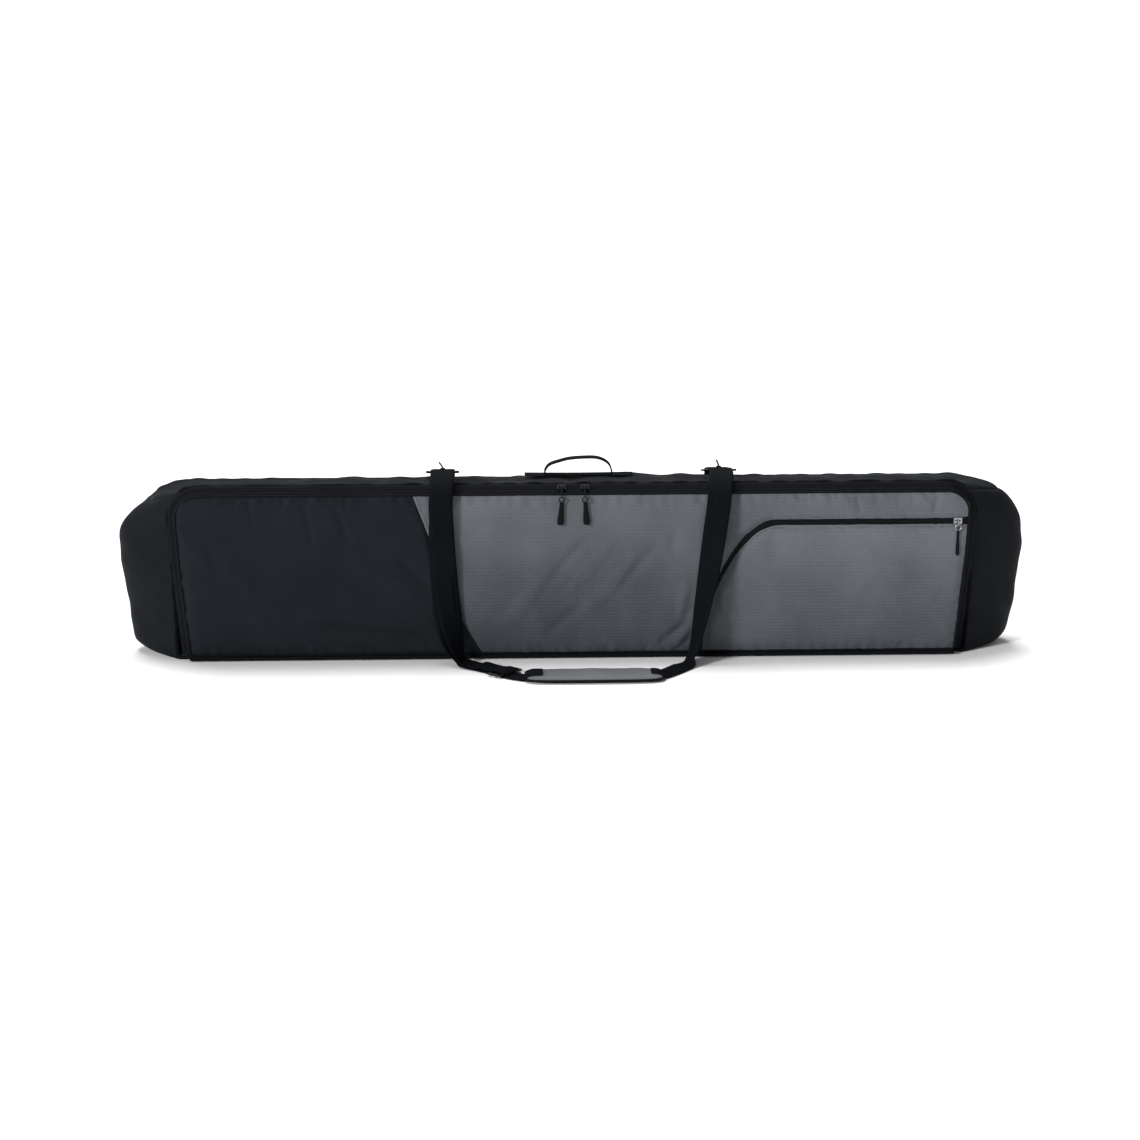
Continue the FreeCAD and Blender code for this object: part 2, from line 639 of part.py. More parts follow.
def swivel_loop(name, x):
    """The strap's loop: a collar that the hook's head turns in, and a frame round the webbing bar."""
    bar_wire = dim("LoopWireRadius")
    half = strap_half + 1.0 + bar_wire
    collar_at = shank_start - 8.5
    back = collar_at - 2.5
    bar_length = "StrapWidth+2+2*LoopWireRadius"
    bar = cylinder(name + "Bar", "LoopWireRadius", bar_length, (-half, -reach, 0), X_AXIS)
    depth = f"{back + reach + 2 * bar_wire}"
    sides = []
    for i, side_at in enumerate((-half, half)):
        low = (side_at - bar_wire, -reach - bar_wire, -bar_wire)
        sides.append(box(f"{name}Side{i}", "2*LoopWireRadius", depth, "2*LoopWireRadius", low))
    cross = box(
        name + "Cross", "StrapWidth+2+2*LoopWireRadius", "2*LoopWireRadius", "2*LoopWireRadius",
        (-half, back - bar_wire, -bar_wire),
    )
    collar = cylinder(name + "Collar", "5", "4.5", (0, collar_at, 0), -Y_AXIS)
    bore = cylinder(name + "Bore", "2.9", "12", (0, collar_at + 4, 0), -Y_AXIS)
    obj = cut(name, fuse(name + "Solid", bar, *sides, cross, collar), bore)
    obj.Placement = strap_place(x)
    return obj


def ring_anchor(name, x):
    """A webbing tab sewn to the top gusset, folded round the D-ring's bar."""
    half = strap_half - 3
    run = dim("BackDepth") - dim("WidestDepth")
    fall = (dim("CrestHeight") - dim("BackTopHeight")) / run
    y0, y1 = ring_axis.y, back_plane - 0.5

    def surface(y):
        return dim("CrestHeight") - fall * (min(y, dim("BackDepth")) - dim("WidestDepth")) + GAP

    profile = [
        (y0, surface(y0)), (dim("BackDepth"), surface(y1)), (y1, surface(y1)),
        (y1, surface(y1) + 3.5), (y0, ring_axis.z + wire + 2.4),
    ]
    tail = extrusion(name + "Tail", polygon([(-half, y, z) for y, z in profile]), X_AXIS, "StrapWidth-6")
    at, bore_at = (-half, y0, ring_axis.z), (-strap_half, y0, ring_axis.z)
    sleeve = cylinder(name + "Sleeve", "RingWireRadius+2.4", "StrapWidth-6", at, X_AXIS)
    bore = cylinder(name + "Bore", "RingWireRadius+0.35", "StrapWidth", bore_at, X_AXIS)
    obj = cut(name, fuse(name + "Solid", tail, sleeve), bore)
    obj.Placement = Placement(Vector(x, 0, 0), Rotation())
    return obj


webbing = dim("WebbingThick")
bar_centre = ring_axis + tilt.multVec(Vector(0, -reach, 0))
drop_depth, foot_height = -dim("DropDepth"), dim("DropFootHeight")
FOLD_CLEAR = 0.3


def strap_drop(name, x, shift):
    """Webbing folded round the loop's bar, over the zip, and down in front of the lid to the floor."""
    outer = dim("LoopWireRadius") + FOLD_CLEAR + webbing
    top = bar_centre.z + outer - webbing / 2
    start = Vector(x, bar_centre.y, top)
    bends = [(drop_depth + 14, top - 5), (drop_depth, top - 20), (drop_depth, lid_top - 6)]
    points = [start, *(Vector(x, y, z) for y, z in bends)]
    over = ribbon(name + "Over", points, [0, 14, 14, 0], dim("StrapWidth"), webbing, X_AXIS)
    fold_at = (x - strap_half, bar_centre.y, bar_centre.z)
    fold = cylinder(name + "Fold", f"{outer}", "StrapWidth", fold_at, X_AXIS)
    bore_at = (x - strap_half - 1, bar_centre.y, bar_centre.z)
    bore = cylinder(name + "Bore", f"LoopWireRadius+{FOLD_CLEAR}", "StrapWidth+2", bore_at, X_AXIS)
    back = drop_depth + webbing / 2
    corners = [
        (x - strap_half, back, lid_top - 5), (x + strap_half, back, lid_top - 5),
        (x + strap_half + shift, back, foot_height), (x - strap_half + shift, back, foot_height),
    ]
    hang = extrusion(name + "Hang", polygon(corners), -Y_AXIS, "WebbingThick")
    return cut(name, fuse(name + "Solid", over, fold, hang), bore)


def strap_run(name, corners):
    """Webbing that lies on the floor between the foot of a drop and the pad, from (x, y) corners."""
    points = [Vector(x, y, GAP) for x, y in corners]
    return extrusion(name, Part.Face(Part.makePolygon([*points, points[0]])), Z_AXIS, "WebbingThick")


hardware = (
    ("Left", "LeftStrapPlace", "LeftDropShift", -35),
    ("Right", "RightStrapPlace", "RightDropShift", -20),
)
anchors = []
for side, cell, shift_cell, lean in hardware:
    x, low = dim(cell), side.lower()
    subpart(d_ring(f"DRing{side}", x), f"d_ring_{low}")
    subpart(snap_hook(f"SnapHook{side}", x), f"snap_hook_{low}")
    subpart(hook_gate(f"HookGate{side}", x, lean), f"hook_gate_{low}")
    subpart(swivel_loop(f"SwivelLoop{side}", x), f"swivel_loop_{low}")
    anchors.append(ring_anchor(f"RingAnchor{side}", x))
    subpart(strap_drop(f"StrapDrop{side}", x, dim(shift_cell)), f"strap_drop_{low}")
anchor_pair = doc.addObject("Part::Compound", "RingAnchors")
anchor_pair.Links = anchors
subpart(anchor_pair, "d_ring_anchors")

pad_left = dim("PadMiddle") - dim("PadLength") / 2
pad_right = dim("PadMiddle") + dim("PadLength") / 2
pad_depth = -dim("PadDepth")
run_front = drop_depth - webbing / 2 - 0.5
left_foot_x = dim("LeftStrapPlace") + dim("LeftDropShift")
right_foot_x = dim("RightStrapPlace") + dim("RightDropShift")
left_run = [
    (left_foot_x - 22, run_front), (left_foot_x - 10, run_front - 30), (pad_left - 1, pad_depth - 18),
    (pad_left - 1, pad_depth + 18), (left_foot_x + 26, run_front),
]
right_run = [
    (right_foot_x - 26, run_front), (pad_right + 1, pad_depth + 18), (pad_right + 1, pad_depth - 18),
    (right_foot_x + 10, run_front - 30), (right_foot_x + 22, run_front),
]
subpart(strap_run("StrapRunLeft", left_run), "strap_run_left")
subpart(strap_run("StrapRunRight", right_run), "strap_run_right")
middle_run = [
    (pad_left - 1, pad_depth - 18), (pad_right + 1, pad_depth - 18),
    (pad_right + 1, pad_depth + 18), (pad_left - 1, pad_depth + 18),
]
subpart(strap_run("StrapRunMiddle", middle_run), "strap_run_middle")

# ---------------------------------------------------------------- shoulder pad and adjuster


def pad_layer(name, expression, height, inset=0.0):
    """One layer of the shoulder pad: a PartDesign pad of a sketched outline with round ends."""
    body = doc.addObject("PartDesign::Body", name)
    plane = next(f for f in body.Origin.OriginFeatures if f.Role == "XY_Plane")
    sketch = body.newObject("Sketcher::SketchObject", name + "Sketch")
    sketch.AttachmentSupport = [(plane, "")]
    sketch.MapMode = "FlatFace"
    half_long, half_wide, corner = dim("PadLength") / 2 - inset, dim("PadWidth") / 2 - inset, 26.0 - inset
    sides = [(1, -1), (1, 1), (-1, 1), (-1, -1)]
    corners = [(sx * half_long, sy * half_wide) for sx, sy in sides]
    edges = rounded_edges([Vector(x, y, 0) for x, y in corners], [corner] * 4)
    for edge in edges:
        sketch.addGeometry(curve_of(edge))
    doc.recompute()
    padding = body.newObject("PartDesign::Pad", name + "Pad")
    padding.Profile = sketch
    bind(padding, Length=expression)
    body.Placement = Placement(Vector(dim("PadMiddle"), pad_depth, height), Rotation())
    return body


def curve_of(edge):
    """A sketch element for a straight or circular edge."""
    ends = [v.Point for v in edge.Vertexes]
    if isinstance(edge.Curve, Part.Circle):
        middle = edge.valueAt((edge.FirstParameter + edge.LastParameter) / 2)
        return Part.Arc(edge.valueAt(edge.FirstParameter), middle, edge.valueAt(edge.LastParameter))
    return Part.LineSegment(ends[0], ends[1])


pad_base = webbing + 2 * GAP  # the pad lies on the webbing that runs through it
subpart(pad_layer("PadBase", "FabricThick", pad_base), "pad_base")
subpart(pad_layer("PadFoam", "PadFoamThick", pad_base + skin), "pad_foam")
subpart(pad_layer("PadTop", "FabricThick", pad_base + skin + dim("PadFoamThick")), "pad_top")

keepers = []
for side, at in (("Left", pad_left + 6), ("Right", pad_right - 34)):
    spot = (at, pad_depth - 20, pad_base + 2 * skin + dim("PadFoamThick") + 0.1)
    keepers.append(box(f"PadKeeper{side}", "28", "40", "WebbingThick", spot))
keeper_pair = doc.addObject("Part::Compound", "PadKeepers")
keeper_pair.Links = keepers
subpart(keeper_pair, "pad_keepers")

ADJUSTER_SHARE = 0.7  # how far along the left run the adjuster sits
RUN_ANGLE = math.degrees(math.atan2(pad_depth - run_front, pad_left - left_foot_x))
frame_length, frame_width = dim("AdjusterLength"), dim("AdjusterWidth")
plate = box(
    "AdjusterPlate", "AdjusterWidth", "AdjusterLength", "AdjusterThick",
    (-frame_width / 2, -frame_length / 2, 0),
)
slots = [
    box(f"AdjusterSlot{i}", "8", "AdjusterLength-8", "20", (sx, -frame_length / 2 + 4, -5))
    for i, sx in enumerate((-frame_width / 2 + 4, frame_width / 2 - 12))
]
adjuster = cut("StrapAdjuster", plate, fuse("AdjusterSlots", *slots))
adjuster.Placement = Placement(
    Vector(
        left_foot_x + ADJUSTER_SHARE * (pad_left - left_foot_x),
        run_front + ADJUSTER_SHARE * (pad_depth - run_front),
        webbing + 2 * GAP,
    ),
    Rotation(Z_AXIS, RUN_ANGLE),
)
subpart(adjuster, "strap_adjuster")

# ---------------------------------------------------------------- tie-downs inside the back

lining_plane = dim("BackDepth")
tie_low, tie_high = wall + 14, dim("BackTopHeight") - wall - 14
tie_downs = []
buckles = []
for side, sign in (("Left", -1), ("Right", 1)):
    at = (sign * dim("TieDownPlace") - dim("TieDownWidth") / 2, lining_plane - 2.2, tie_low)
    tie_downs.append(box(f"TieDown{side}", "TieDownWidth", "WebbingThick", f"{tie_high - tie_low}", at))
    wide = dim("TieDownWidth") + 10
    at = (sign * dim("TieDownPlace") - wide / 2, lining_plane - 10.5, (tie_low + tie_high) / 2)
    block = box(f"Buckle{side}", "TieDownWidth+10", "8", "46", at)
    window_at = (sign * dim("TieDownPlace") - 8, at[1] - 1, at[2] + 16)
    window = box(f"BuckleWindow{side}", "16", "6", "14", window_at)
    buckles.append(cut(f"BuckleBody{side}", block, window))
tie_pair = doc.addObject("Part::Compound", "TieDowns")
tie_pair.Links = tie_downs
subpart(tie_pair, "tie_downs")
buckle_pair = doc.addObject("Part::Compound", "TieDownBuckles")
buckle_pair.Links = buckles
subpart(buckle_pair, "tie_down_buckles")

# ---------------------------------------------------------------- check and write

doc.recompute()
problems = [f"{o.Label}: {o.State}" for o in doc.Objects if set(o.State) & {"Invalid", "Error"}]
for obj in SUBPARTS:
    shape = obj.Shape
    if shape.isNull() or not shape.isValid() or not shape.Solids or shape.Volume <= 0:
        problems.append(f"{obj.Label}: empty or invalid shape")
if problems:
    raise SystemExit("\n".join(problems))
for obj in SUBPARTS:
    obj.Shape.exportStep(f"parts/{obj.Label}.step")
    bounds = obj.Shape.BoundBox
    print(f"{obj.Label}: {len(obj.Shape.Solids)} solid(s), {obj.Shape.Volume / 1000:.1f} cm3, "
          f"{bounds.XLength:.0f} x {bounds.YLength:.0f} x {bounds.ZLength:.0f} mm")
print(len(SUBPARTS), "sub-parts")
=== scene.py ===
import math

import bmesh
import bpy
import numpy as np
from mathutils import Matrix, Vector


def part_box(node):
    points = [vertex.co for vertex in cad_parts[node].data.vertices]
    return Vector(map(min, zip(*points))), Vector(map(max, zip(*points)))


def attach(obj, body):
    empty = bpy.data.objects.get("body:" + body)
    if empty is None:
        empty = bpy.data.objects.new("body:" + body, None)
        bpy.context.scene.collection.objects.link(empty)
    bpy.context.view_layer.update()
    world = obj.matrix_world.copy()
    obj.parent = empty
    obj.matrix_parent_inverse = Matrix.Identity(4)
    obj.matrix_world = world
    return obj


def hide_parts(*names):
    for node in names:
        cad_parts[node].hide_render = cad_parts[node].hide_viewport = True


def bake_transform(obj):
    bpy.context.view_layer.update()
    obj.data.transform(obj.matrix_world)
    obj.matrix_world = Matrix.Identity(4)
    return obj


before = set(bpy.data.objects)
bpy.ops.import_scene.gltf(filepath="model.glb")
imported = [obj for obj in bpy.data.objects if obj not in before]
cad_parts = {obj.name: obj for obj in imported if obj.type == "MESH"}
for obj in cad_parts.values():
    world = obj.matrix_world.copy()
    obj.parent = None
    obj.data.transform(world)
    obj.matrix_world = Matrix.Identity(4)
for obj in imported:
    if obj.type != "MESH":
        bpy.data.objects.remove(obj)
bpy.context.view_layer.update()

MM = 0.001
rng = np.random.RandomState(11)


def in_scene(name, data):
    """A new object that holds the data, linked into the scene."""
    obj = bpy.data.objects.new(name, data)
    bpy.context.scene.collection.objects.link(obj)
    return obj


# ---- materials


class Graph:
    """A material's node tree, built with short calls."""

    def __init__(self, name):
        self.material = bpy.data.materials.new(name)
        self.material.use_nodes = True
        self.tree = self.material.node_tree
        self.shader = self.tree.nodes["Principled BSDF"]

    def add(self, kind, **settings):
        node = self.tree.nodes.new(kind)
        for key, value in settings.items():
            setattr(node, key, value)
        return node

    def feed(self, socket, value):
        if hasattr(value, "links"):
            self.tree.links.new(value, socket)
        elif value is not None:
            socket.default_value = value

    def math(self, operation, a, b=None, c=None, clamp=False):
        node = self.add("ShaderNodeMath", operation=operation, use_clamp=clamp)
        for socket, value in zip(node.inputs, (a, b, c)):
            self.feed(socket, value)
        return node.outputs[0]

    def noise(self, vector, scale, detail=3.0, roughness=0.5):
        node = self.add("ShaderNodeTexNoise")
        self.feed(node.inputs["Vector"], vector)
        node.inputs["Scale"].default_value = scale
        node.inputs["Detail"].default_value = detail
        node.inputs["Roughness"].default_value = roughness
        return node.outputs["Fac"]

    def place(self):
        return self.add("ShaderNodeTexCoord").outputs["Object"]

    def axes(self, vector):
        node = self.add("ShaderNodeSeparateXYZ")
        self.feed(node.inputs[0], vector)
        return node.outputs

    def wave(self, coordinate, pitch, sharp=1.0):
        """A 0 to 1 ripple along a coordinate in metres, with its crests narrowed by sharp."""
        turns = self.math("MULTIPLY", coordinate, 2 * math.pi / pitch)
        ripple = self.math("MULTIPLY_ADD", self.math("SINE", turns), 0.5, 0.5)
        return ripple if sharp == 1.0 else self.math("POWER", ripple, sharp)

    def tint(self, dark, light, factor):
        node = self.add("ShaderNodeMix", data_type="RGBA")
        self.feed(node.inputs["Factor"], factor)
        node.inputs["A"].default_value = (*dark, 1)
        node.inputs["B"].default_value = (*light, 1)
        self.feed(self.shader.inputs["Base Color"], node.outputs["Result"])

    def bump(self, height, strength, distance):
        node = self.add("ShaderNodeBump")
        node.inputs["Strength"].default_value = strength
        node.inputs["Distance"].default_value = distance
        self.feed(node.inputs["Height"], height)
        self.feed(self.shader.inputs["Normal"], node.outputs["Normal"])

    def set(self, **values):
        for name, value in values.items():
            self.shader.inputs[name.replace("_", " ")].default_value = value
        return self.material


def woven(name, dark, light, grid=0.0, weave=0.0011, fade=0.0):
    """Plain woven cloth over UVs in metres.

    grid is the pitch of its raised ripstop threads, and fade the strength of a painted shade that darkens
    it towards the floor.
    """
    g = Graph(name)
    u, v, _ = g.axes(g.add("ShaderNodeUVMap").outputs[0])
    threads = g.math("MULTIPLY", g.wave(u, weave), g.wave(v, weave))
    place = g.place()
    blotch = g.noise(place, 9.0, 4.0)
    fleck = g.noise(place, 900.0, 1.0)
    height = g.math("MULTIPLY", threads, 0.35)
    shade = g.math("MULTIPLY_ADD", blotch, 0.55, g.math("MULTIPLY", fleck, 0.45))
    if grid:
        lines = g.math("MAXIMUM", g.math("MULTIPLY", g.wave(u, grid, 9.0), 0.4), g.wave(v, grid, 7.0))
        height = g.math("ADD", height, g.math("MULTIPLY", lines, 0.35))
        shade = g.math("MULTIPLY_ADD", lines, 0.1, g.math("MULTIPLY", shade, 0.94))
    # painted shade: darker towards the floor, where the light from above falls off
    if fade:
        level = g.math("MULTIPLY_ADD", g.axes(place)[2], -fade / 0.3, fade, clamp=True)
        shade = g.math("SUBTRACT", shade, level, clamp=True)
    soft = g.noise(place, 38.0, 5.0, 0.55)
    height = g.math("MULTIPLY_ADD", soft, 3.0, height)
    g.tint(dark, light, shade)
    g.bump(height, 0.5, 0.00045)
    return g.set(Roughness=0.62, Sheen_Weight=0.01, Sheen_Roughness=0.45, Specular_IOR_Level=0.05)


def band_weave(name, dark, light, pitch=0.0024):
    """Strap webbing over UVs in metres: diagonal ribs that mirror about the middle."""
    g = Graph(name)
    u, v, _ = g.axes(g.add("ShaderNodeUVMap").outputs[0])
    across = g.math("PINGPONG", u, pitch * 2.6)
    rib = g.wave(g.math("ADD", g.math("MULTIPLY", across, 1.2), v), pitch, 0.7)
    column = g.wave(u, pitch * 1.3, 0.6)
    height = g.math("MULTIPLY", rib, column)
    fade = g.noise(g.place(), 24.0, 3.0)
    g.tint(dark, light, g.math("MULTIPLY_ADD", fade, 0.4, g.math("MULTIPLY", height, 0.6)))
    g.bump(height, 0.8, 0.0005)
    return g.set(Roughness=0.7, Sheen_Weight=0.005, Specular_IOR_Level=0.03)


def moulded(name, dark, light, roughness, grain=700.0, metallic=0.0, bump=0.25, gleam=0.25):
    """Moulded plastic or coated metal: fine grain, and a worn variation of gloss."""
    g = Graph(name)
    place = g.place()
    fine, broad = g.noise(place, grain, 2.0), g.noise(place, 60.0, 3.0)
    g.tint(dark, light, broad)
    spread = g.math("MULTIPLY_ADD", broad, 0.16, roughness - 0.08)
    g.feed(g.shader.inputs["Roughness"], spread)
    g.bump(fine, bump, 0.00015)
    return g.set(Metallic=metallic, Specular_IOR_Level=gleam)


DARK = woven("dark_oxford", (0.0028, 0.0036, 0.005), (0.0082, 0.0098, 0.0127), weave=0.0013)
# fade paints shade on these ripstops, darker towards the floor
DARK_RIP = woven("dark_ripstop", (0.0044, 0.0055, 0.0073), (0.0138, 0.0162, 0.0203), grid=0.0062, fade=0.08)
GREY_RIP = woven("grey_ripstop", (0.042, 0.0465, 0.0535), (0.155, 0.164, 0.18), grid=0.0062, fade=0.55)
# the grey ripstop again, made lighter: painted light, as the pocket's upper part tilts up to the light
POCKET_RIP_LIT = woven("pocket_ripstop_lit", (0.058, 0.063, 0.072), (0.185, 0.195, 0.213), grid=0.0062, fade=0.5)
PAD_RIP = woven("pad_ripstop", (0.07, 0.074, 0.08), (0.15, 0.156, 0.164), grid=0.0062)
PIPING = woven("piping_tape", (0.002, 0.0025, 0.0032), (0.0055, 0.0064, 0.008), weave=0.0009)
TAPE = woven("zip_tape_cloth", (0.002, 0.0025, 0.0032), (0.0056, 0.0065, 0.008), weave=0.0007)
LINING = woven("lining_taffeta", (0.012, 0.013, 0.016), (0.032, 0.034, 0.04), weave=0.0006)
WEBBING = band_weave("strap_webbing", (0.0014, 0.0019, 0.0028), (0.0058, 0.0068, 0.0088))
THREAD = woven("sewing_thread", (0.006, 0.007, 0.009), (0.02, 0.022, 0.026), weave=0.0006)
COIL = moulded("zip_coil_nylon", (0.003, 0.003, 0.004), (0.009, 0.009, 0.011), 0.6, gleam=0.06)
BLACK_METAL = moulded("black_metal", (0.0015, 0.0017, 0.002), (0.004, 0.0044, 0.005), 0.42, gleam=0.22)
GUNMETAL = moulded("gunmetal", (0.02, 0.021, 0.023), (0.045, 0.046, 0.05), 0.36, metallic=1.0)
CHROME = moulded("chrome_slider", (0.2, 0.2, 0.21), (0.34, 0.34, 0.36), 0.3, metallic=1.0, bump=0.1)
RUBBER = moulded(
    "pull_rubber", (0.001, 0.0012, 0.0016), (0.003, 0.0034, 0.004), 0.55, grain=500.0, gleam=0.08,
)
PLASTIC = moulded("buckle_plastic", (0.004, 0.004, 0.005), (0.011, 0.011, 0.013), 0.4, grain=420.0)

# ---- mesh helpers


def piece(name, verts, faces, material, body, replaces=(), uvs=None, smooth=True):
    """Makes one visible piece from points in millimetres; uvs are per vertex, in metres."""
    mesh = bpy.data.meshes.new(name)
    mesh.from_pydata((np.asarray(verts, float) * MM).tolist(), [], [list(map(int, f)) for f in faces])
    if uvs is not None:
        layer = mesh.uv_layers.new(name="UVMap")
        corners = np.empty(len(mesh.loops), dtype=np.int64)
        mesh.loops.foreach_get("vertex_index", corners)
        layer.data.foreach_set("uv", np.asarray(uvs, float)[corners].ravel())
    mesh.materials.append(material)
    mesh.polygons.foreach_set("use_smooth", [smooth] * len(mesh.polygons))
    mesh.validate()
    mesh.update()
    obj = in_scene(name, mesh)
    if body:
        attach(obj, body)
    if replaces:
        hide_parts(*replaces)
    return obj


def grid_faces(rows, columns, close_rows=False, close_columns=False):
    """Quads between rows x columns points, wrapped round either way where asked."""
    i = np.arange(rows if close_rows else rows - 1)
    j = np.arange(columns if close_columns else columns - 1)
    a, b = np.meshgrid(i, j, indexing="ij")
    c, d = (a + 1) % rows, (b + 1) % columns
    quads = np.stack([a * columns + b, a * columns + d, c * columns + d, c * columns + b], -1)
    return quads.reshape(-1, 4)


def lengths_uv(points):
    """UVs in metres that follow a grid of points along both its directions."""
    def run(axis):
        step = np.linalg.norm(np.diff(points, axis=axis), axis=-1)
        total = np.insert(np.cumsum(step, axis=axis), 0, 0, axis=axis)
        return total * MM
    return np.stack([run(1), run(0)], -1).reshape(-1, 2)


def thickened(obj, thickness, offset=-1.0):
    """Gives an open sheet its cloth thickness, in millimetres."""
    solid = obj.modifiers.new("Thickness", "SOLIDIFY")
    solid.thickness, solid.offset = thickness * MM, offset
    return obj


def skin(name, points, material, body, replaces=(), thickness=1.1, offset=-1.0, flip=False):
    """A sheet of cloth through a grid of points."""
    rows, columns = points.shape[:2]
    faces = grid_faces(rows, columns)
    if flip:
        faces = faces[:, ::-1]
    obj = piece(name, points.reshape(-1, 3), faces, material, body, replaces, lengths_uv(points))
    return thickened(obj, thickness, offset)


def resample(points, step=None, count=None):
    """Points spaced evenly along a polyline."""
    points = np.asarray(points, float)
    gone = np.insert(np.cumsum(np.linalg.norm(np.diff(points, axis=0), axis=1)), 0, 0)
    count = count or max(int(gone[-1] / step), 2) + 1
    at = np.linspace(0, gone[-1], count)
    return np.stack([np.interp(at, gone, points[:, k]) for k in range(points.shape[1])], -1)


def curve_through(points, per_span=12):
    """A Catmull-Rom curve through points of any dimension."""
    p = np.asarray(points, float)
    p = np.vstack([2 * p[0] - p[1], p, 2 * p[-1] - p[-2]])
    t = np.linspace(0, 1, per_span, endpoint=False)[:, None]
    spans = []
    for a, b, c, d in zip(p, p[1:], p[2:], p[3:]):
        square, cube = 2 * a - 5 * b + 4 * c - d, 3 * b - a - 3 * c + d
        spans.append(0.5 * (2 * b + (c - a) * t + square * t**2 + cube * t**3))
    return np.vstack([*spans, p[-2:-1]])


def unit(vectors):
    return vectors / np.maximum(np.linalg.norm(vectors, axis=-1, keepdims=True), 1e-9)


def tangents(path, closed=False):
    if closed:
        return unit(np.roll(path, -1, axis=0) - np.roll(path, 1, axis=0))
    return unit(np.gradient(path, axis=0))


def sweep(path, sides, section, closed=False):
    """Points of a section swept along a path; sides is each point's sideways direction."""
    along = tangents(path, closed)
    sides = unit(sides - along * np.sum(sides * along, -1, keepdims=True))
    ups = np.cross(along, sides)
    return path[:, None] + sides[:, None] * section[None, :, :1] + ups[:, None] * section[None, :, 1:]


def round_section(radius, count=10):
    angle = np.linspace(0, 2 * np.pi, count, endpoint=False)
    return np.stack([np.cos(angle), np.sin(angle)], -1) * radius


def flat_section(width, thick, count=9):
    """A webbing's cross-section: flat with rounded edges and a very slight crown."""
    x = np.linspace(-1, 1, count)
    edge = np.sqrt(np.clip(1 - np.abs(x) ** 14, 0, 1)) * 0.5 + 0.02
    top = np.stack([x * width / 2, edge * thick], -1)
    return np.vstack([top, top[::-1] * [1, -1]])


def swept(name, path, sides, section, material, body, replaces=(), closed=False):
    """A piece swept along a path, with its ends capped when it is open."""
    points = sweep(path, sides, section, closed)
    points[..., 2] = np.maximum(points[..., 2], 0.2)  # flattened by the floor
    rows, columns = points.shape[:2]
    faces = grid_faces(rows, columns, closed, True).tolist()
    if not closed:
        faces += [list(range(columns))[::-1], list(range((rows - 1) * columns, rows * columns))]
    around = np.insert(np.cumsum(np.linalg.norm(np.diff(section, axis=0), axis=1)), 0, 0)
    gone = np.insert(np.cumsum(np.linalg.norm(np.diff(path, axis=0), axis=1)), 0, 0)
    uvs = np.stack(np.broadcast_arrays(around[None, :], gone[:, None]), -1).reshape(-1, 2) * MM
    return piece(name, points.reshape(-1, 3), faces, material, body, replaces, uvs)


def tube(name, path, radius, material, body, replaces=(), closed=False, count=10):
    path = np.asarray(path, float)
    along = tangents(path, closed)
    reference = np.where(np.abs(along[:, 1:2]) < 0.9, [[0.0, 1.0, 0.0]], [[0.0, 0.0, 1.0]])
    sides = np.cross(along, reference)
    return swept(name, path, sides, round_section(radius, count), material, body, replaces, closed)


BOX = np.array([(x, y, z) for x in (-1, 1) for y in (-1, 1) for z in (-1, 1)]) / 2
BOX_FACES = np.array([(0, 1, 3, 2), (4, 6, 7, 5), (0, 4, 5, 1), (2, 3, 7, 6), (0, 2, 6, 4), (1, 5, 7, 3)])


def studs(centres, along, side, size, shape=BOX, shape_faces=BOX_FACES):
    """Copies of a small block at many places; size is its length along, across and up."""
    along, side = unit(along), unit(side)
    side = unit(side - along * np.sum(side * along, -1, keepdims=True))
    up = np.cross(along, side)
    local = shape * size
    verts = (
        centres[:, None]
        + along[:, None] * local[None, :, :1]
        + side[:, None] * local[None, :, 1:2]
        + up[:, None] * local[None, :, 2:]
    )
    faces = shape_faces[None] + (np.arange(len(centres)) * len(shape))[:, None, None]
    return verts.reshape(-1, 3), faces.reshape(-1, shape_faces.shape[1])


RICE = np.array([
    (-0.5, 0, 0), (-0.2, 0.5, 0), (-0.2, 0, 0.5), (-0.2, -0.5, 0),
    (0.2, 0.5, 0), (0.2, 0, 0.5), (0.2, -0.5, 0), (0.5, 0, 0),
])
RICE_FACES = np.array([(0, 1, 2, 2), (0, 2, 3, 3), (1, 4, 5, 2), (2, 5, 6, 3), (4, 7, 5, 5), (5, 7, 6, 6)])


def stitches(name, lines, body, pitch=3.6, length=2.5, thick=0.7):
    """Rows of stitches along polylines; each line is (points, outward direction)."""
    verts, faces, first = [], [], 0
    for points, outward in lines:
        path = resample(points, step=pitch)
        along = tangents(path)
        if np.ndim(outward) > 1:
            outward = resample(outward, count=len(path))
        side = np.cross(outward, along)
        v, f = studs(path, along, side, np.array([length, thick, thick]), RICE, RICE_FACES)
        verts.append(v)
        faces.append(f + first)
        first += len(v)
    # the repeated corner of each three-sided face is dropped
    faces = [list(dict.fromkeys(f)) for f in np.vstack(faces).tolist()]
    return piece(name, np.vstack(verts), faces, THREAD, body)


# ---- the bag's outlines

LID_CORNERS = [(696, 10), (712, 190), (718, 308), (-718, 308), (-712, 190), (-696, 10)]
LID_RADII = [6, 400, 42, 42, 400, 6]
FRONT_Y, BAND_RUN = -75.0, 16.0
BAND_START = FRONT_Y + 1.0
RING_FRONT = BAND_START + BAND_RUN
WIDEST_Y, BACK_Y = 15.0, 75.0


def outset_corners(corners, distance):
    """An outline's corners after all its sides have moved out by a distance."""
    p = np.array(corners, float)
    before, after = unit(p - np.roll(p, 1, axis=0)), unit(np.roll(p, -1, axis=0) - p)
    out_before = np.stack([before[:, 1], -before[:, 0]], -1)
    out_after = np.stack([after[:, 1], -after[:, 0]], -1)
    share = distance / (1 + np.sum(out_before * out_after, -1, keepdims=True))
    return p + (out_before + out_after) * share


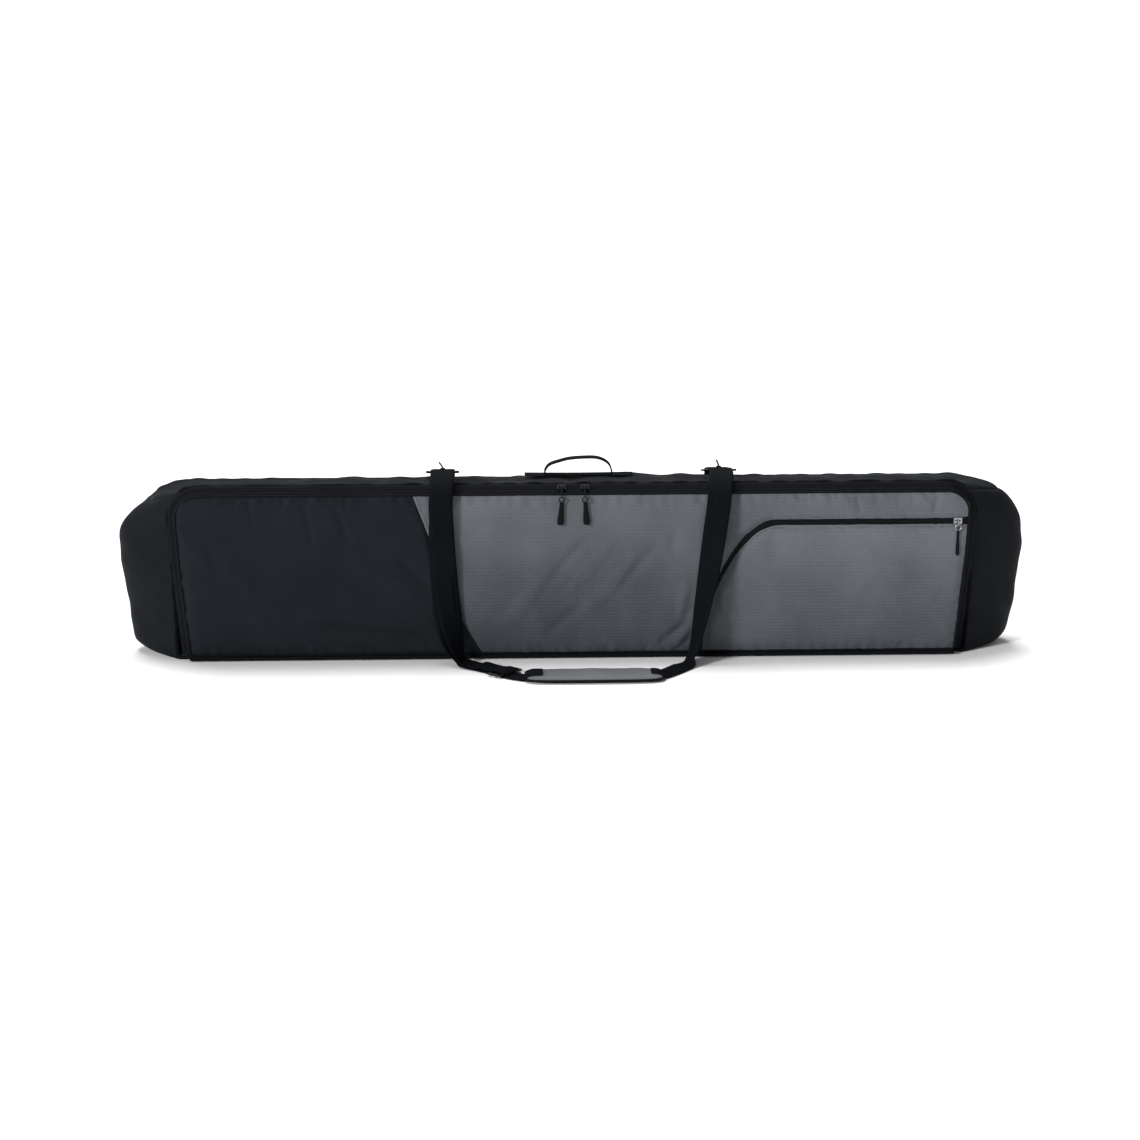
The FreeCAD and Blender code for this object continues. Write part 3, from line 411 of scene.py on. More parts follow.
def outline(corners, radii, counts, outset=0.0):
    """A rounded outline's points (x, z), split at the middle of each corner's arc into counts[i] steps.

    It starts at the first corner (low right) and goes up the right side, along the top and back round.
    """
    corners = outset_corners(corners, outset)
    arcs = []
    for i, here in enumerate(corners):
        before, after = unit(corners[i - 1] - here), unit(corners[(i + 1) % len(corners)] - here)
        half = np.arccos(np.clip(before @ after, -1, 1)) / 2
        radius = max(radii[i] + outset, 1.0)
        centre = here + unit(before + after) * radius / np.sin(half)
        slant = np.tan(half)
        first, last = here + before * radius / slant - centre, here + after * radius / slant - centre
        a0, a1 = np.arctan2(first[1], first[0]), np.arctan2(last[1], last[0])
        a1 += 2 * np.pi * round((a0 - a1) / (2 * np.pi))
        angle = np.linspace(a0, a1, 25)
        arcs.append(centre + radius * np.stack([np.cos(angle), np.sin(angle)], -1))
    runs = []
    for i, count in enumerate(counts):
        path = np.vstack([arcs[i][12:], arcs[(i + 1) % len(arcs)][:13]])
        runs.append(resample(path, count=count + 1)[:-1])
    return np.vstack(runs)


SIDE_LOW, SIDE_HIGH, LONG = 36, 26, 300
COUNTS = [SIDE_LOW, SIDE_HIGH, LONG, SIDE_HIGH, SIDE_LOW, LONG]


def lid_outline(outset=0.0):
    return outline(LID_CORNERS, LID_RADII, COUNTS, outset)


def at_depth(points, y):
    """Outline points (x, z) as (x, y, z)."""
    return np.insert(points, 1, y, axis=1)


def lid_path(outset, y, foot=None):
    """The lid's outline without its bottom side, at an outset and a depth."""
    path = at_depth(lid_outline(outset)[: sum(COUNTS[:5])], y)
    if foot is not None:
        path = path[path[:, 2] > foot]
    return resample(path, count=900)


# ---- gusset ring


def wobble(a, b, seed):
    """A smooth repeatable unevenness of two coordinates, about -1 to 1."""
    r = np.random.RandomState(seed)
    total = np.zeros(np.broadcast(a, b).shape)
    for _ in range(9):
        wave_a, wave_b = r.uniform(0.4, 2.4, 2)
        turn = r.uniform(-1, 1)
        total += np.sin(wave_a * a + turn * wave_b * b + r.uniform(0, 6.3)) * r.uniform(0.4, 1.0)
    return total / 3.5


FRONT_CORNERS = outset_corners(LID_CORNERS, BAND_RUN)
FRONT_CORNERS[[0, 5], 1] = 0.0
FRONT_CORNERS[[0, 5], 0] += [13.0, -13.0]
WIDEST_CORNERS = [(808, 0), (825, 190), (811, 322), (-804, 320), (-825, 180), (-792, 0)]
BACK_CORNERS = [(768, 0), (805, 190), (791, 306), (-791, 306), (-805, 190), (-768, 0)]
END_RADII = [52, 80, 100, 135, 80, 42]
BACK_RADII = [40, 80, 100, 100, 80, 40]
ring_front = outline(FRONT_CORNERS, [12, 400, 58, 58, 400, 12], COUNTS)
ring_widest = outline(WIDEST_CORNERS, END_RADII, COUNTS)
ring_back = outline(BACK_CORNERS, BACK_RADII, COUNTS)
ring_total = len(ring_front)


def ring_surface(columns=27):
    """Points of the gusset ring, from its front edge to its back seam: (outline, depth, 3)."""
    t = np.linspace(0, 1, columns)
    middle = (WIDEST_Y - RING_FRONT) / (BACK_Y - RING_FRONT)
    rise = np.sin(np.pi / 2 * np.clip(t / middle, 0, 1))[None, :, None]
    fall = (1 - np.cos(np.pi / 2 * np.clip((t - middle) / (1 - middle), 0, 1)))[None, :, None]
    flat = ring_front[:, None] + (ring_widest - ring_front)[:, None] * rise
    flat = flat + (ring_back - ring_widest)[:, None] * fall
    y = RING_FRONT + (BACK_Y - RING_FRONT) * t
    return np.stack([flat[..., 0], np.broadcast_to(y, flat.shape[:2]), flat[..., 1]], -1)


def grid_normals(points, closed=False):
    """The unit normals of a grid of points, whose rows may close round."""
    if closed:
        du = np.roll(points, -1, axis=0) - np.roll(points, 1, axis=0)
    else:
        du = np.gradient(points, axis=0)
    dv = np.gradient(points, axis=1)
    return unit(np.cross(du, dv))


surface = ring_surface()
normals = grid_normals(surface, closed=True)
outward = np.sign(np.sum(normals * (surface * [1, 0, 1] - [0, 0, 160]), -1).mean())
normals *= outward
t_across = np.linspace(0, 1, surface.shape[1])[None, :]
x_at, z_at = surface[..., 0], surface[..., 2]
overhead = np.clip((z_at - 225) / 60.0, 0, 1)
overhead = overhead * overhead * (3 - 2 * overhead)
swell = 3.5 * np.sin(np.pi * t_across) ** 0.8 * (1 - overhead)
profile = np.sin(np.pi * t_across)
folds = 3.6 * wobble(x_at / 48.0 + z_at / 60.0, t_across * 4.0, 3) * profile
creases = 2.2 * wobble(x_at / 19.0, z_at / 19.0 + t_across * 6.0, 4) * profile
gathers = 2.2 * wobble(x_at / 11.0 + z_at / 11.0, t_across * 2.0, 5) * (
    np.exp(-t_across / 0.16) + np.exp(-(1 - t_across) / 0.16)
)
on_floor = np.clip(z_at / 25.0, 0, 1)
# how far the slack top stands above or below its foam, along the bag
CREST = np.array([
    (-760, -14), (-640, -13), (-560, -12), (-420, -9), (-310, -9), (-286, -16), (-262, -6),
    (-160, -8), (-80, -3), (-40, 0), (100, 0), (180, -4), (250, -5), (290, -7), (310, -15),
    (350, -13), (480, -9), (620, -9), (700, -13), (780, -16),
])
facing_up = np.clip(normals[..., 2], 0, 1) ** 2
crest = np.interp(x_at, CREST[:, 0], CREST[:, 1]) * profile ** 0.5 * overhead * facing_up
push = (swell + folds + creases + gathers) * on_floor + crest
surface = surface + normals * push[..., None]
surface[..., 2] = np.clip(surface[..., 2], 0.15, np.where(t_across > 0.25, 322.4, 326.0))

right_seam = SIDE_LOW + SIDE_HIGH
left_seam = right_seam + LONG
bottom_start = left_seam + SIDE_HIGH + SIDE_LOW
edge_steps = 14  # outline steps of the floor side that belong to each end cap


def tucked(points):
    """Turns a panel's two seam edges in, so that a seam shows as a groove."""
    normal = grid_normals(points) * outward
    count = len(points)
    i = np.arange(count)
    near = np.minimum(i, count - 1 - i)
    depth = np.where(near == 0, 2.2, np.where(near == 1, 0.7, 0.0))
    return points - normal * depth[:, None, None]


# the gusset's front hem: how far each fold lies inside the front edge and behind it
HEM_FOLDS = [(8.0, 4.5), (6.0, 3.2), (2.5, 0.6), (0.8, -0.4)]


def wrapped(points):
    """Adds the hem at the front edge, from the outer cloth round to the lining."""
    front = points[:, :1]
    normal = grid_normals(points)[:, :1] * outward
    normal = unit(normal * [1, 0, 1])
    folds = [front - normal * inside + np.array([0, behind, 0]) for inside, behind in HEM_FOLDS]
    return np.concatenate([*folds, points], axis=1)


indices = {
    "top_gusset": np.arange(right_seam, left_seam + 1),
    "left_end_cap": np.arange(left_seam, bottom_start + edge_steps + 1) % ring_total,
    "right_end_cap": np.arange(-edge_steps, right_seam + 1) % ring_total,
    "bottom_gusset": np.arange(bottom_start + edge_steps, ring_total - edge_steps + 1) % ring_total,
}
for name, rows in indices.items():
    points = wrapped(tucked(surface[rows]))
    points[..., 2] = np.maximum(points[..., 2], 1.2)
    foam_name = name.replace("_end_cap", "_gusset").replace("_gusset", "") + "_gusset_foam"
    skin(
        name + "_cloth", points, DARK, "shell", (name, foam_name), flip=outward < 0,
    )

# lining inside the ring, the padded back and its piping
inner = surface[:, ::2]
inner_normals = grid_normals(inner, closed=True) * outward
quilt = 0.9 * wobble(inner[..., 0] / 30.0, inner[..., 2] / 30.0 + inner[..., 1] / 30.0, 21)
inner = inner - inner_normals * (8.6 - quilt[..., None])
inner[..., 1] = np.clip(inner[..., 1], RING_FRONT + 0.5, BACK_Y - 8.5)
inner[..., 2] = np.maximum(inner[..., 2], 8.0)
closed_inner = np.concatenate([inner, inner[:1]])
skin(
    "ring_lining", closed_inner, LINING, "shell", ("gusset_lining",),
    thickness=0.8, offset=1.0, flip=outward > 0,
)


def filled(name, ring, y, material, body, replaces, rise=0.0, flip=False, seed=31):
    """A sheet that fills an outline, raised in its middle like a padded panel."""
    count = len(ring)
    centre_z = 0.5 * (ring[:, 1].max() + ring[:, 1].min())
    pitch = 6.0  # both long sides meet the middle line at the same points
    middle_x = np.clip(np.round(ring[:, 0] / pitch) * pitch, -624, 624)
    spine = np.stack([middle_x, np.full(count, centre_z)], -1)
    share = np.linspace(0, 1, 14)[:, None, None]
    flat = ring[None] + (spine - ring)[None] * share
    x, z, inwards = flat[..., 0], flat[..., 1], share[..., 0]
    lift = rise * (1 - (1 - inwards) ** 2.2)
    lift = lift + 0.9 * wobble(x / 55, z / 45, seed) * np.minimum(inwards * 4, 1)
    lift += 0.9 * wobble(x / 11, z / 14, seed + 1) * np.exp(-inwards / 0.12)
    points = np.stack([flat[..., 0], y + lift * np.ones(flat.shape[:2]), flat[..., 1]], -1)
    points = np.concatenate([points, points[:, :1]], axis=1)
    rows, columns = points.shape[:2]
    faces = grid_faces(rows, columns)
    if flip:
        faces = faces[:, ::-1]
    uvs = points[..., [0, 2]].reshape(-1, 2) * MM
    obj = piece(name, points.reshape(-1, 3), faces, material, body, replaces, uvs)
    joined = bmesh.new()
    joined.from_mesh(obj.data)
    bmesh.ops.remove_doubles(joined, verts=joined.verts, dist=0.0002)
    joined.to_mesh(obj.data)
    joined.free()
    return thickened(obj, 1.0)


back_edge = ring_back.copy()
back_edge[:, 1] = np.maximum(back_edge[:, 1], 0.6)
back_cloth = filled(
    "back_cloth", back_edge, BACK_Y - 0.5, DARK, "shell", ("back_panel", "back_foam"),
    rise=3.5, flip=True,
)
inner_back = outline(BACK_CORNERS, BACK_RADII, COUNTS, outset=-8.0)
filled(
    "back_lining_cloth", inner_back, BACK_Y - 8.6, LINING, "shell", ("back_lining",),
    rise=-1.5, seed=41,
)
piping_ring = at_depth(outline(BACK_CORNERS, BACK_RADII, COUNTS, outset=-1.8), BACK_Y + 1.2)
piping_ring[:, 2] = np.maximum(piping_ring[:, 2], 2.3)
tube("back_piping_cord", piping_ring, 2.1, PIPING, "shell", ("back_piping",), closed=True)

# ---- lid

ROWS = 63
LID_TOP = 308.0
z_rows = np.linspace(10.5, LID_TOP - 0.5, ROWS)


def edge_x(z):
    """The lid's half width at a height, on its straight sides and round its top corner."""
    low = np.interp(z, [10, 190, LID_TOP], [696, 712, 718])
    centre_z, centre_x, radius = LID_TOP - 42, 718 - 42.5, 42
    over = np.clip(z - centre_z, 0, radius)
    arc = centre_x + np.sqrt(np.maximum(radius**2 - over**2, 0))
    return np.where(z > centre_z, np.minimum(arc, low), low)


SEAM_LINE = np.array([(-162, 4), (-204, 76), (-290, LID_TOP)])
seam_x = np.interp(z_rows, SEAM_LINE[:, 1], SEAM_LINE[:, 0])
pocket_curve = curve_through([
    (229, 4), (236, 60), (252, 120), (270, 160), (292, 198), (312, 222), (334, 241), (360, 251.5),
])
pocket_x = np.interp(z_rows, pocket_curve[:, 1], pocket_curve[:, 0])
ZIP_Z, BAND_HALF = 252.0, 6.5
zip_row = int(np.argmin(np.abs(z_rows - ZIP_Z)))
DARK_COLUMNS, GREY_COLUMNS, POCKET_COLUMNS = 104, 96, 92
POCKET_START = DARK_COLUMNS + GREY_COLUMNS
columns_x = []
for xl, xs, xp, xr in zip(-edge_x(z_rows), seam_x, pocket_x, edge_x(z_rows)):
    columns_x.append(np.concatenate([
        np.linspace(xl, xs, DARK_COLUMNS, endpoint=False),
        np.linspace(xs, xp, GREY_COLUMNS, endpoint=False),
        np.linspace(xp, xr, POCKET_COLUMNS + 1),
    ]))
lid_x = np.array(columns_x)
lid_z = np.broadcast_to(z_rows[:, None], lid_x.shape)
half = edge_x(lid_z)
border = np.minimum.reduce([lid_x + half, half - lid_x, lid_z - 10, LID_TOP - lid_z])
seam_gap = np.abs(lid_x - seam_x[:, None])
belly = np.sin(np.clip((lid_z - 10) / (LID_TOP - 10), 0, 1) * np.pi) ** 0.7
edge_rise = 1 - np.exp(-np.maximum(border, 0) / 14.0)
lift = 3.2 * edge_rise + 2.4 * belly * edge_rise
lift -= 0.9 * np.exp(-((seam_gap / 2.5) ** 2))
zip_run = np.vstack([resample(pocket_curve, step=6), [(x, ZIP_Z) for x in range(366, 716, 6)]])
cells = np.stack([lid_x, lid_z], -1)
zip_gap = np.min(np.linalg.norm(cells[:, :, None] - zip_run[None, None], axis=-1), axis=-1)


FOLD_GAIN = 1.25
FOLD_HEIGHT = 1.35  # the drawn folds stand this much higher than listed


def ridge(x, z, a, b, width, height, bend=0.0):
    """A soft fold along a line from a to b, given by (x, z)."""
    a, b = np.array(a, float), np.array(b, float)
    d = b - a
    length = np.hypot(*d)
    along = ((x - a[0]) * d[0] + (z - a[1]) * d[1]) / length**2
    across = ((x - a[0]) * d[1] - (z - a[1]) * d[0]) / length
    across = across + bend * np.sin(np.clip(along, 0, 1) * np.pi)
    ends = np.clip(along / 0.3, 0, 1) * np.clip((1 - along) / 0.3, 0, 1)
    ends = ends * ends * (3 - 2 * ends)
    return FOLD_GAIN * height * ends * np.exp(-((across / width) ** 2))


FOLDS = [
    # in the middle grey panel, slanting down to the left
    ((75, 232), (-20, 118), 8, 3.0, 4), ((38, 238), (-60, 122), 9, -2.2, -5),
    ((118, 200), (10, 84), 10, 2.6, 6),
    ((158, 222), (70, 126), 9, -1.8, 0), ((-55, 160), (-135, 56), 11, 2.0, 5),
    ((22, 112), (-62, 36), 9, -1.8, 0),
    ((-120, 300), (-150, 200), 10, 1.8, 3), ((120, 304), (90, 236), 9, 2.0, 0),
    ((190, 280), (170, 190), 9, -1.8, 3),
    # beside the right strap
    ((224, 98), (176, 18), 8, 3.2, 5), ((214, 74), (146, 22), 7, -2.4, 0),
    ((207, 158), (188, 60), 8, 2.2, 0),
    # hanging from the top edge of the dark panel
    ((-610, 310), (-585, 236), 11, 2.6, 3), ((-565, 310), (-552, 214), 11, 2.8, 5),
    ((-520, 310), (-508, 208), 12, 3.0, 6),
    ((-474, 310), (-440, 214), 12, 2.8, 8), ((-420, 306), (-380, 226), 11, 2.4, 6),
    ((-368, 306), (-330, 236), 10, 2.0, 4),
    ((-590, 306), (-570, 225), 9, -2.0, 3), ((-496, 306), (-470, 212), 10, -2.2, 6),
    ((-445, 306), (-405, 215), 10, -2.0, 6),
    # across the dark panel
    ((-420, 188), (-260, 96), 14, 2.2, 10), ((-330, 200), (-250, 120), 10, -1.8, 6),
    ((-700, 260), (-655, 160), 10, 1.8, 3),
    ((-505, 64), (-225, 20), 16, -3.2, 10), ((-520, 84), (-250, 52), 12, 2.6, 6),
    ((-470, 36), (-330, 14), 8, -1.8, 0),
    ((-640, 190), (-560, 116), 14, 1.8, 0), ((-600, 90), (-500, 36), 12, 1.8, 0),
    # above the pocket zip
    ((400, 306), (380, 262), 9, 2.2, 0), ((452, 306), (436, 260), 9, 2.4, 2),
    ((505, 306), (520, 262), 9, -2.0, 0),
    ((560, 302), (570, 262), 9, 2.4, 2), ((618, 302), (640, 264), 9, 2.0, 2),
    ((660, 306), (648, 262), 8, -2.0, 0),
    # on the pocket
    ((330, 120), (500, 90), 20, 1.6, 6), ((560, 210), (690, 150), 18, -1.6, 4),
    ((420, 60), (600, 30), 16, 1.4, 0),
    ((500, 246), (545, 190), 11, 1.6, 3), ((640, 246), (660, 180), 10, 1.6, 0),
    ((300, 60), (262, 120), 10, 1.8, 3),
]
for a, b, width, height, bend in FOLDS:
    lift += ridge(lid_x, lid_z, a, b, width, FOLD_HEIGHT * height, bend)
for start, stop, count, gain in ((-690, -300, 24, 1.5), (-280, 330, 30, 1.0), (370, 690, 13, 0.7)):
    for x in np.linspace(start, stop, count) + rng.uniform(-8, 8, count):
        drop = rng.uniform(18, 46)
        foot = (x + rng.uniform(-10, 10), 306 - drop)
        lift += ridge(lid_x, lid_z, (x, 312), foot, 6.5, gain * rng.uniform(-1.6, 1.6))
for x in np.linspace(-680, 680, 60) + rng.uniform(-8, 8, 60):
    tip = (x + rng.uniform(-12, 12), 10 + rng.uniform(20, 40))
    lift += ridge(lid_x, lid_z, (x, 4), tip, 6, rng.uniform(-1.2, 1.2))
for z in np.linspace(30, 280, 14):
    for side in (-1, 1):
        reach = rng.uniform(20, 45)
        tip = (side * (703 - reach), z + rng.uniform(-12, 12))
        lift += ridge(lid_x, lid_z, (side * 718, z), tip, 6, rng.uniform(-1.3, 1.3))
lift += 1.1 * wobble(lid_x / 60, lid_z / 45, 51) * edge_rise
lift += 0.4 * wobble(lid_x / 15, lid_z / 12, 52) * edge_rise
beside_zip = np.exp(-((zip_gap / 14.0) ** 4))
lift = lift * (1 - beside_zip)
lid_points = np.stack([lid_x, FRONT_Y - lift, lid_z], -1)
lid_uv = np.stack([lid_x, lid_z], -1) * MM


def cloth_settled(points, pinned, frames=14, slack=0.018, cap=3.2):
    """Lets a sheet of slack cloth settle against a light push from behind, its pinned edges held."""
    rows, columns = points.shape[:2]
    mesh = bpy.data.meshes.new("settling")
    mesh.from_pydata((points.reshape(-1, 3) * MM).tolist(), [], grid_faces(rows, columns).tolist())
    obj = in_scene("settling", mesh)
    scene = bpy.context.scene
    group = obj.vertex_groups.new(name="held")
    group.add(np.flatnonzero(pinned.ravel()).tolist(), 1.0, "REPLACE")
    cloth = obj.modifiers.new("Cloth", "CLOTH")
    cloth.settings.vertex_group_mass = "held"
    cloth.settings.quality = 6
    cloth.settings.mass = 0.2
    cloth.settings.tension_stiffness = cloth.settings.compression_stiffness = 25
    cloth.settings.bending_stiffness = 0.6
    cloth.settings.shrink_min = -slack
    cloth.settings.air_damping = 4
    cloth.collision_settings.use_collision = False
    cloth.point_cache.frame_end = frames
    kept_gravity = tuple(scene.gravity)
    scene.gravity = (0.0, -2.5, -1.5)
    for number in range(1, frames + 1):
        scene.frame_set(number)
    settled = obj.evaluated_get(bpy.context.evaluated_depsgraph_get())
    out = np.empty(rows * columns * 3)
    settled.data.vertices.foreach_get("co", out)
    moved = out.reshape(rows, columns, 3) / MM - points
    scene.gravity = kept_gravity
    scene.frame_set(1)
    bpy.data.objects.remove(obj)
    length = np.linalg.norm(moved, axis=-1, keepdims=True)
    return points + moved * np.minimum(1, cap / np.maximum(length, 1e-6))


pins = np.zeros(lid_x.shape, bool)
pins[[0, -1]] = True
pins[:, [0, -1, DARK_COLUMNS]] = True
pins[:zip_row + 1, POCKET_START] = True
pins[zip_row, POCKET_START:] = True
lid_points = cloth_settled(lid_points, pins)

# room for the zip pulls, wherever their sliders stand
high_up = np.clip((lid_z - 205) / 40, 0, 1)
by_pocket_pull = np.clip((lid_x - 330) / 30, 0, 1) * np.clip((lid_z - 160) / 25, 0, 1)
foremost = -86.0 + 5.4 * np.maximum(high_up, by_pocket_pull)
depth = np.clip(lid_points[..., 1], foremost, -74.6)
beside_zip = np.exp(-((zip_gap / 9.0) ** 6))
lid_points[..., 1] = depth * (1 - beside_zip) + (FRONT_Y - 0.1) * beside_zip


def lid_region(name, inside, material, replaces):
    """One panel of the lid: the grid's cells for which inside(row, column) holds."""
    rows, columns = lid_x.shape
    faces = grid_faces(rows, columns)
    row, column = faces[:, 0] // columns, faces[:, 0] % columns
    faces = faces[inside(row, column)]
    used, local = np.unique(faces, return_inverse=True)
    points, uvs = lid_points.reshape(-1, 3)[used], lid_uv.reshape(-1, 2)[used]
    obj = piece(name, points, local.reshape(faces.shape), material, "lid", replaces, uvs)
    smooth = obj.modifiers.new("Smooth", "SUBSURF")
    smooth.levels = smooth.render_levels = 1
    thickened(obj, 1.0)
    return obj


lid_region("lid_dark_cloth", lambda r, c: c < DARK_COLUMNS, DARK_RIP, ("lid_dark_panel",))
lid_region(
    "lid_grey_cloth", lambda r, c: (c >= DARK_COLUMNS) & ((c < POCKET_START) | (r >= zip_row)),
    GREY_RIP, ("lid_grey_panel", "lid_foam"),
)
lid_region(
    "pocket_cloth", lambda r, c: (c >= POCKET_START) & (r < zip_row),
    POCKET_RIP_LIT, ("pocket_panel", "pocket_backing"),
)

# sides and lining of the lid, its piping and its seams
edge_rows = [(-0.6, 0.2), (0.6, 2.0), (0.4, 6.0), (-0.6, 8.8), (-3.0, 9.2)]
edge_grid = np.stack([at_depth(lid_outline(outset), FRONT_Y + back) for outset, back in edge_rows], axis=1)
edge_grid = np.concatenate([edge_grid, edge_grid[:1]])
edge_grid[..., 2] = np.maximum(edge_grid[..., 2], 8.6)
skin("lid_side_cloth", edge_grid, DARK, "lid", (), thickness=0.9)
filled(
    "lid_lining_cloth", lid_outline(-2.0), FRONT_Y + 9.3, LINING, "lid", ("lid_lining",),
    rise=1.2, seed=61, flip=True,
)

lid_ring = at_depth(lid_outline(-1.2), FRONT_Y - 1.0)
lid_ring[:, 1] += 0.5 * wobble(lid_ring[:, 0] / 40, lid_ring[:, 2] / 40, 71)
tube("lid_piping_cord", lid_ring, 2.3, PIPING, "lid", ("lid_piping",), closed=True)


def on_lid(points_xz, lift_off=0.6):
    """Points on the lid's face at given (x, z), read from the nearest of its own points."""
    flat = lid_points.reshape(-1, 3)
    out = []
    for x, z in points_xz:
        near = flat[np.argmin((flat[:, 0] - x) ** 2 + (flat[:, 2] - z) ** 2)]
        out.append((x, near[1] - lift_off, z))
    return np.array(out)


# ---- main zip


def slope(outset):
    """Depth of the sloping zip band at an outset from the lid's edge."""
    return BAND_START + outset


def band(name, outsets, material, body, replaces):
    """One half of the main zip's tape, between the first and the last outset."""
    points = np.stack([lid_path(outset, slope(outset), foot=9) for outset in outsets], axis=1)
    return skin(name, points, material, body, replaces, thickness=0.8)


MIDDLE = BAND_RUN / 2
band("zip_tape_lid_cloth", [0.5, 2.5, 4.5, 6.4], TAPE, "lid", ("zip_tape_lid",))
band("zip_tape_body_cloth", [9.6, 11.5, 13.5, 15.6], TAPE, "shell", ("zip_tape_body",))


def band_frame(outset, count):
    """A line along the sloping band, with its directions along and across."""
    path = resample(lid_path(outset, slope(outset), foot=13), count=count)
    along = tangents(path)
    out_flat = unit(np.cross(along, np.array([0.0, 1.0, 0.0])))
    if out_flat[count // 2, 2] < 0:
        out_flat = -out_flat
    side = unit(out_flat + np.array([0.0, 1.0, 0.0]))
    return path, along, side


def coil(name, outset, body, node, shift, lean):
    """One row of zip coil: a small loop every two millimetres."""
    path, along, side = band_frame(outset, 1010)
    centres = path + along * shift
    v, f = studs(centres, along + side * lean, side, np.array([1.15, 3.1, 1.8]))
    return piece(name, v, f, COIL, body, (node,), smooth=False)


coil("zip_coil_lid_teeth", MIDDLE - 1.1, "lid", "zip_coil_lid", 0.0, 0.12)
coil("zip_coil_body_teeth", MIDDLE + 1.1, "shell", "zip_coil_body", 1.0, -0.12)


def band_line(outset, lift_off=0.9):
    """A line just off the band's face, with the direction away from it."""
    path, along, side = band_frame(outset, 700)
    up = unit(np.cross(along, side))
    if up[350, 2] < 0:
        up = -up
    return path + up * lift_off, up


line_a, up_a = band_line(4.4)
line_b, up_b = band_line(11.6)
stitches("lid_band_stitches", [(line_a, up_a)], "lid")
stitches("body_band_stitches", [(line_b, up_b)], "shell")

# ---- pocket zip

zip_line = np.vstack([pocket_curve[:-1], [(x, ZIP_Z) for x in np.linspace(372, 713, 40)]])
zip_line = curve_through(resample(zip_line, step=12), 4)
zip_points = resample(np.insert(zip_line, 1, 0, axis=1), step=3.0)
front = on_lid(zip_points[:, [0, 2]], 0.5)
front[:, 1] = np.convolve(np.pad(front[:, 1], 6, mode="edge"), np.ones(13) / 13, "valid")
along = tangents(front)
side = np.cross(along, [0.0, -1.0, 0.0])
share = np.clip((front[:, 0] - 229) / 130, 0, 1)
half_band = 3.0 + (BAND_HALF + 0.8 - 3.0) * share**0.8
offsets = np.linspace(-1, 1, 7)
rolls = np.array([0.2, -0.3, -0.4, 0.0, -0.4, -0.3, 0.2])
band_points = front[:, None] + side[:, None] * (offsets[None, :, None] * half_band[:, None, None])
band_points[..., 1] += rolls[None]
skin("pocket_zip_band", band_points, TAPE, "lid", ("pocket_zip_tape",), thickness=0.7)
straight = front[front[:, 0] > 352]
straight = resample(straight[straight[:, 0] < 708], step=1.9)
teeth_along = tangents(straight)
teeth_side = np.cross(teeth_along, [0.0, -1.0, 0.0])
verts, faces = [], []
for row, sign in enumerate((-1, 1)):
    centres = straight + teeth_side * sign * 1.0 + teeth_along * row * 0.95 + [0, -0.25, 0]
    v, f = studs(centres, teeth_along, teeth_side, np.array([1.1, 2.6, 1.0]))
    faces.append(f + row * len(v))
    verts.append(v)
piece(
    "pocket_zip_teeth", np.vstack(verts), np.vstack(faces), COIL, "lid", ("pocket_zip_coil",),
    smooth=False,
)
lines = []
for sign in (-1, 1):
    edge_line = front + side * (sign * (half_band + 1.9))[:, None]
    edge_line = on_lid(edge_line[:, [0, 2]], 0.45)
    lines.append((edge_line, np.array([0.0, -1.0, 0.0])))
stitches("pocket_stitches", lines, "lid")
seam_lines = []
for shift in (-5.0, 5.0):
    points = on_lid([(x + shift, z) for x, z in zip(seam_x[::2], z_rows[::2])], 0.4)
    seam_lines.append((points, np.array([0.0, -1.0, 0.0])))
stitches("front_seam_stitches", seam_lines, "lid")

# ---- carried-over metal and plastic nodes

node_materials = {
    "pocket_slider": CHROME, "pocket_pull_link": CHROME, "hinge_piping": PIPING,
    "strap_adjuster": PLASTIC, "tie_down_buckles": PLASTIC,
}
for side_name in ("left", "right"):
    for node in (f"zip_slider_{side_name}", f"zip_pull_{side_name}_link"):
        node_materials[node] = BLACK_METAL
    for kind in ("d_ring", "snap_hook", "hook_gate", "swivel_loop"):
        node_materials[f"{kind}_{side_name}"] = GUNMETAL
for node, material in node_materials.items():
    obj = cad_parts[node]
    obj = obj if isinstance(obj, bpy.types.Object) else bpy.data.objects[node]
    obj.data.materials.clear()
    obj.data.materials.append(material)


def pull_tab(name, node, body, ridges=2, tilt=0.0):
    """A moulded pull tab with a narrow neck, two ridges and a thicker end."""
    low, high = (np.array(p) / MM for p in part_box(node))
    centre = (low + high) / 2
    width, length = high[0] - low[0], high[2] - low[2]
    z = np.linspace(0, 1, 40)
    half_width = width / 2 * (0.62 + 0.1 * z + 0.26 * np.clip((z - 0.3) / 0.4, 0, 1) ** 0.8)
    half_width *= np.sqrt(np.clip(1 - np.clip((z - 0.93) / 0.075, 0, 1) ** 2, 0.02, 1))
    thick = 1.35 + 0.45 * np.clip((z - 0.35) / 0.3, 0, 1)
    for ridge_at in (0.14, 0.22, 0.30)[:ridges + 1]:
        half_width = half_width + 0.45 * np.exp(-(((z - ridge_at) / 0.02) ** 2))
    angle = np.linspace(0, 2 * np.pi, 20, endpoint=False)
    cx, cy = np.cos(angle), np.sin(angle)
    px = np.sign(cx) * np.abs(cx) ** 0.55
    py = np.sign(cy) * np.abs(cy) ** 0.75
    lean = math.tan(math.radians(tilt)) * length * z
    points = np.stack([
        centre[0] + half_width[:, None] * px + lean[:, None],
        centre[1] + thick[:, None] * py,
        np.broadcast_to((high[2] + 1.2 - z * (length + 1.0))[:, None], (40, 20)),
    ], -1)
    faces = grid_faces(40, 20, close_columns=True).tolist()
    faces += [list(range(20))[::-1], list(range(780, 800))]
    return piece(name, points.reshape(-1, 3), faces, RUBBER, body, (node,), lengths_uv(points))


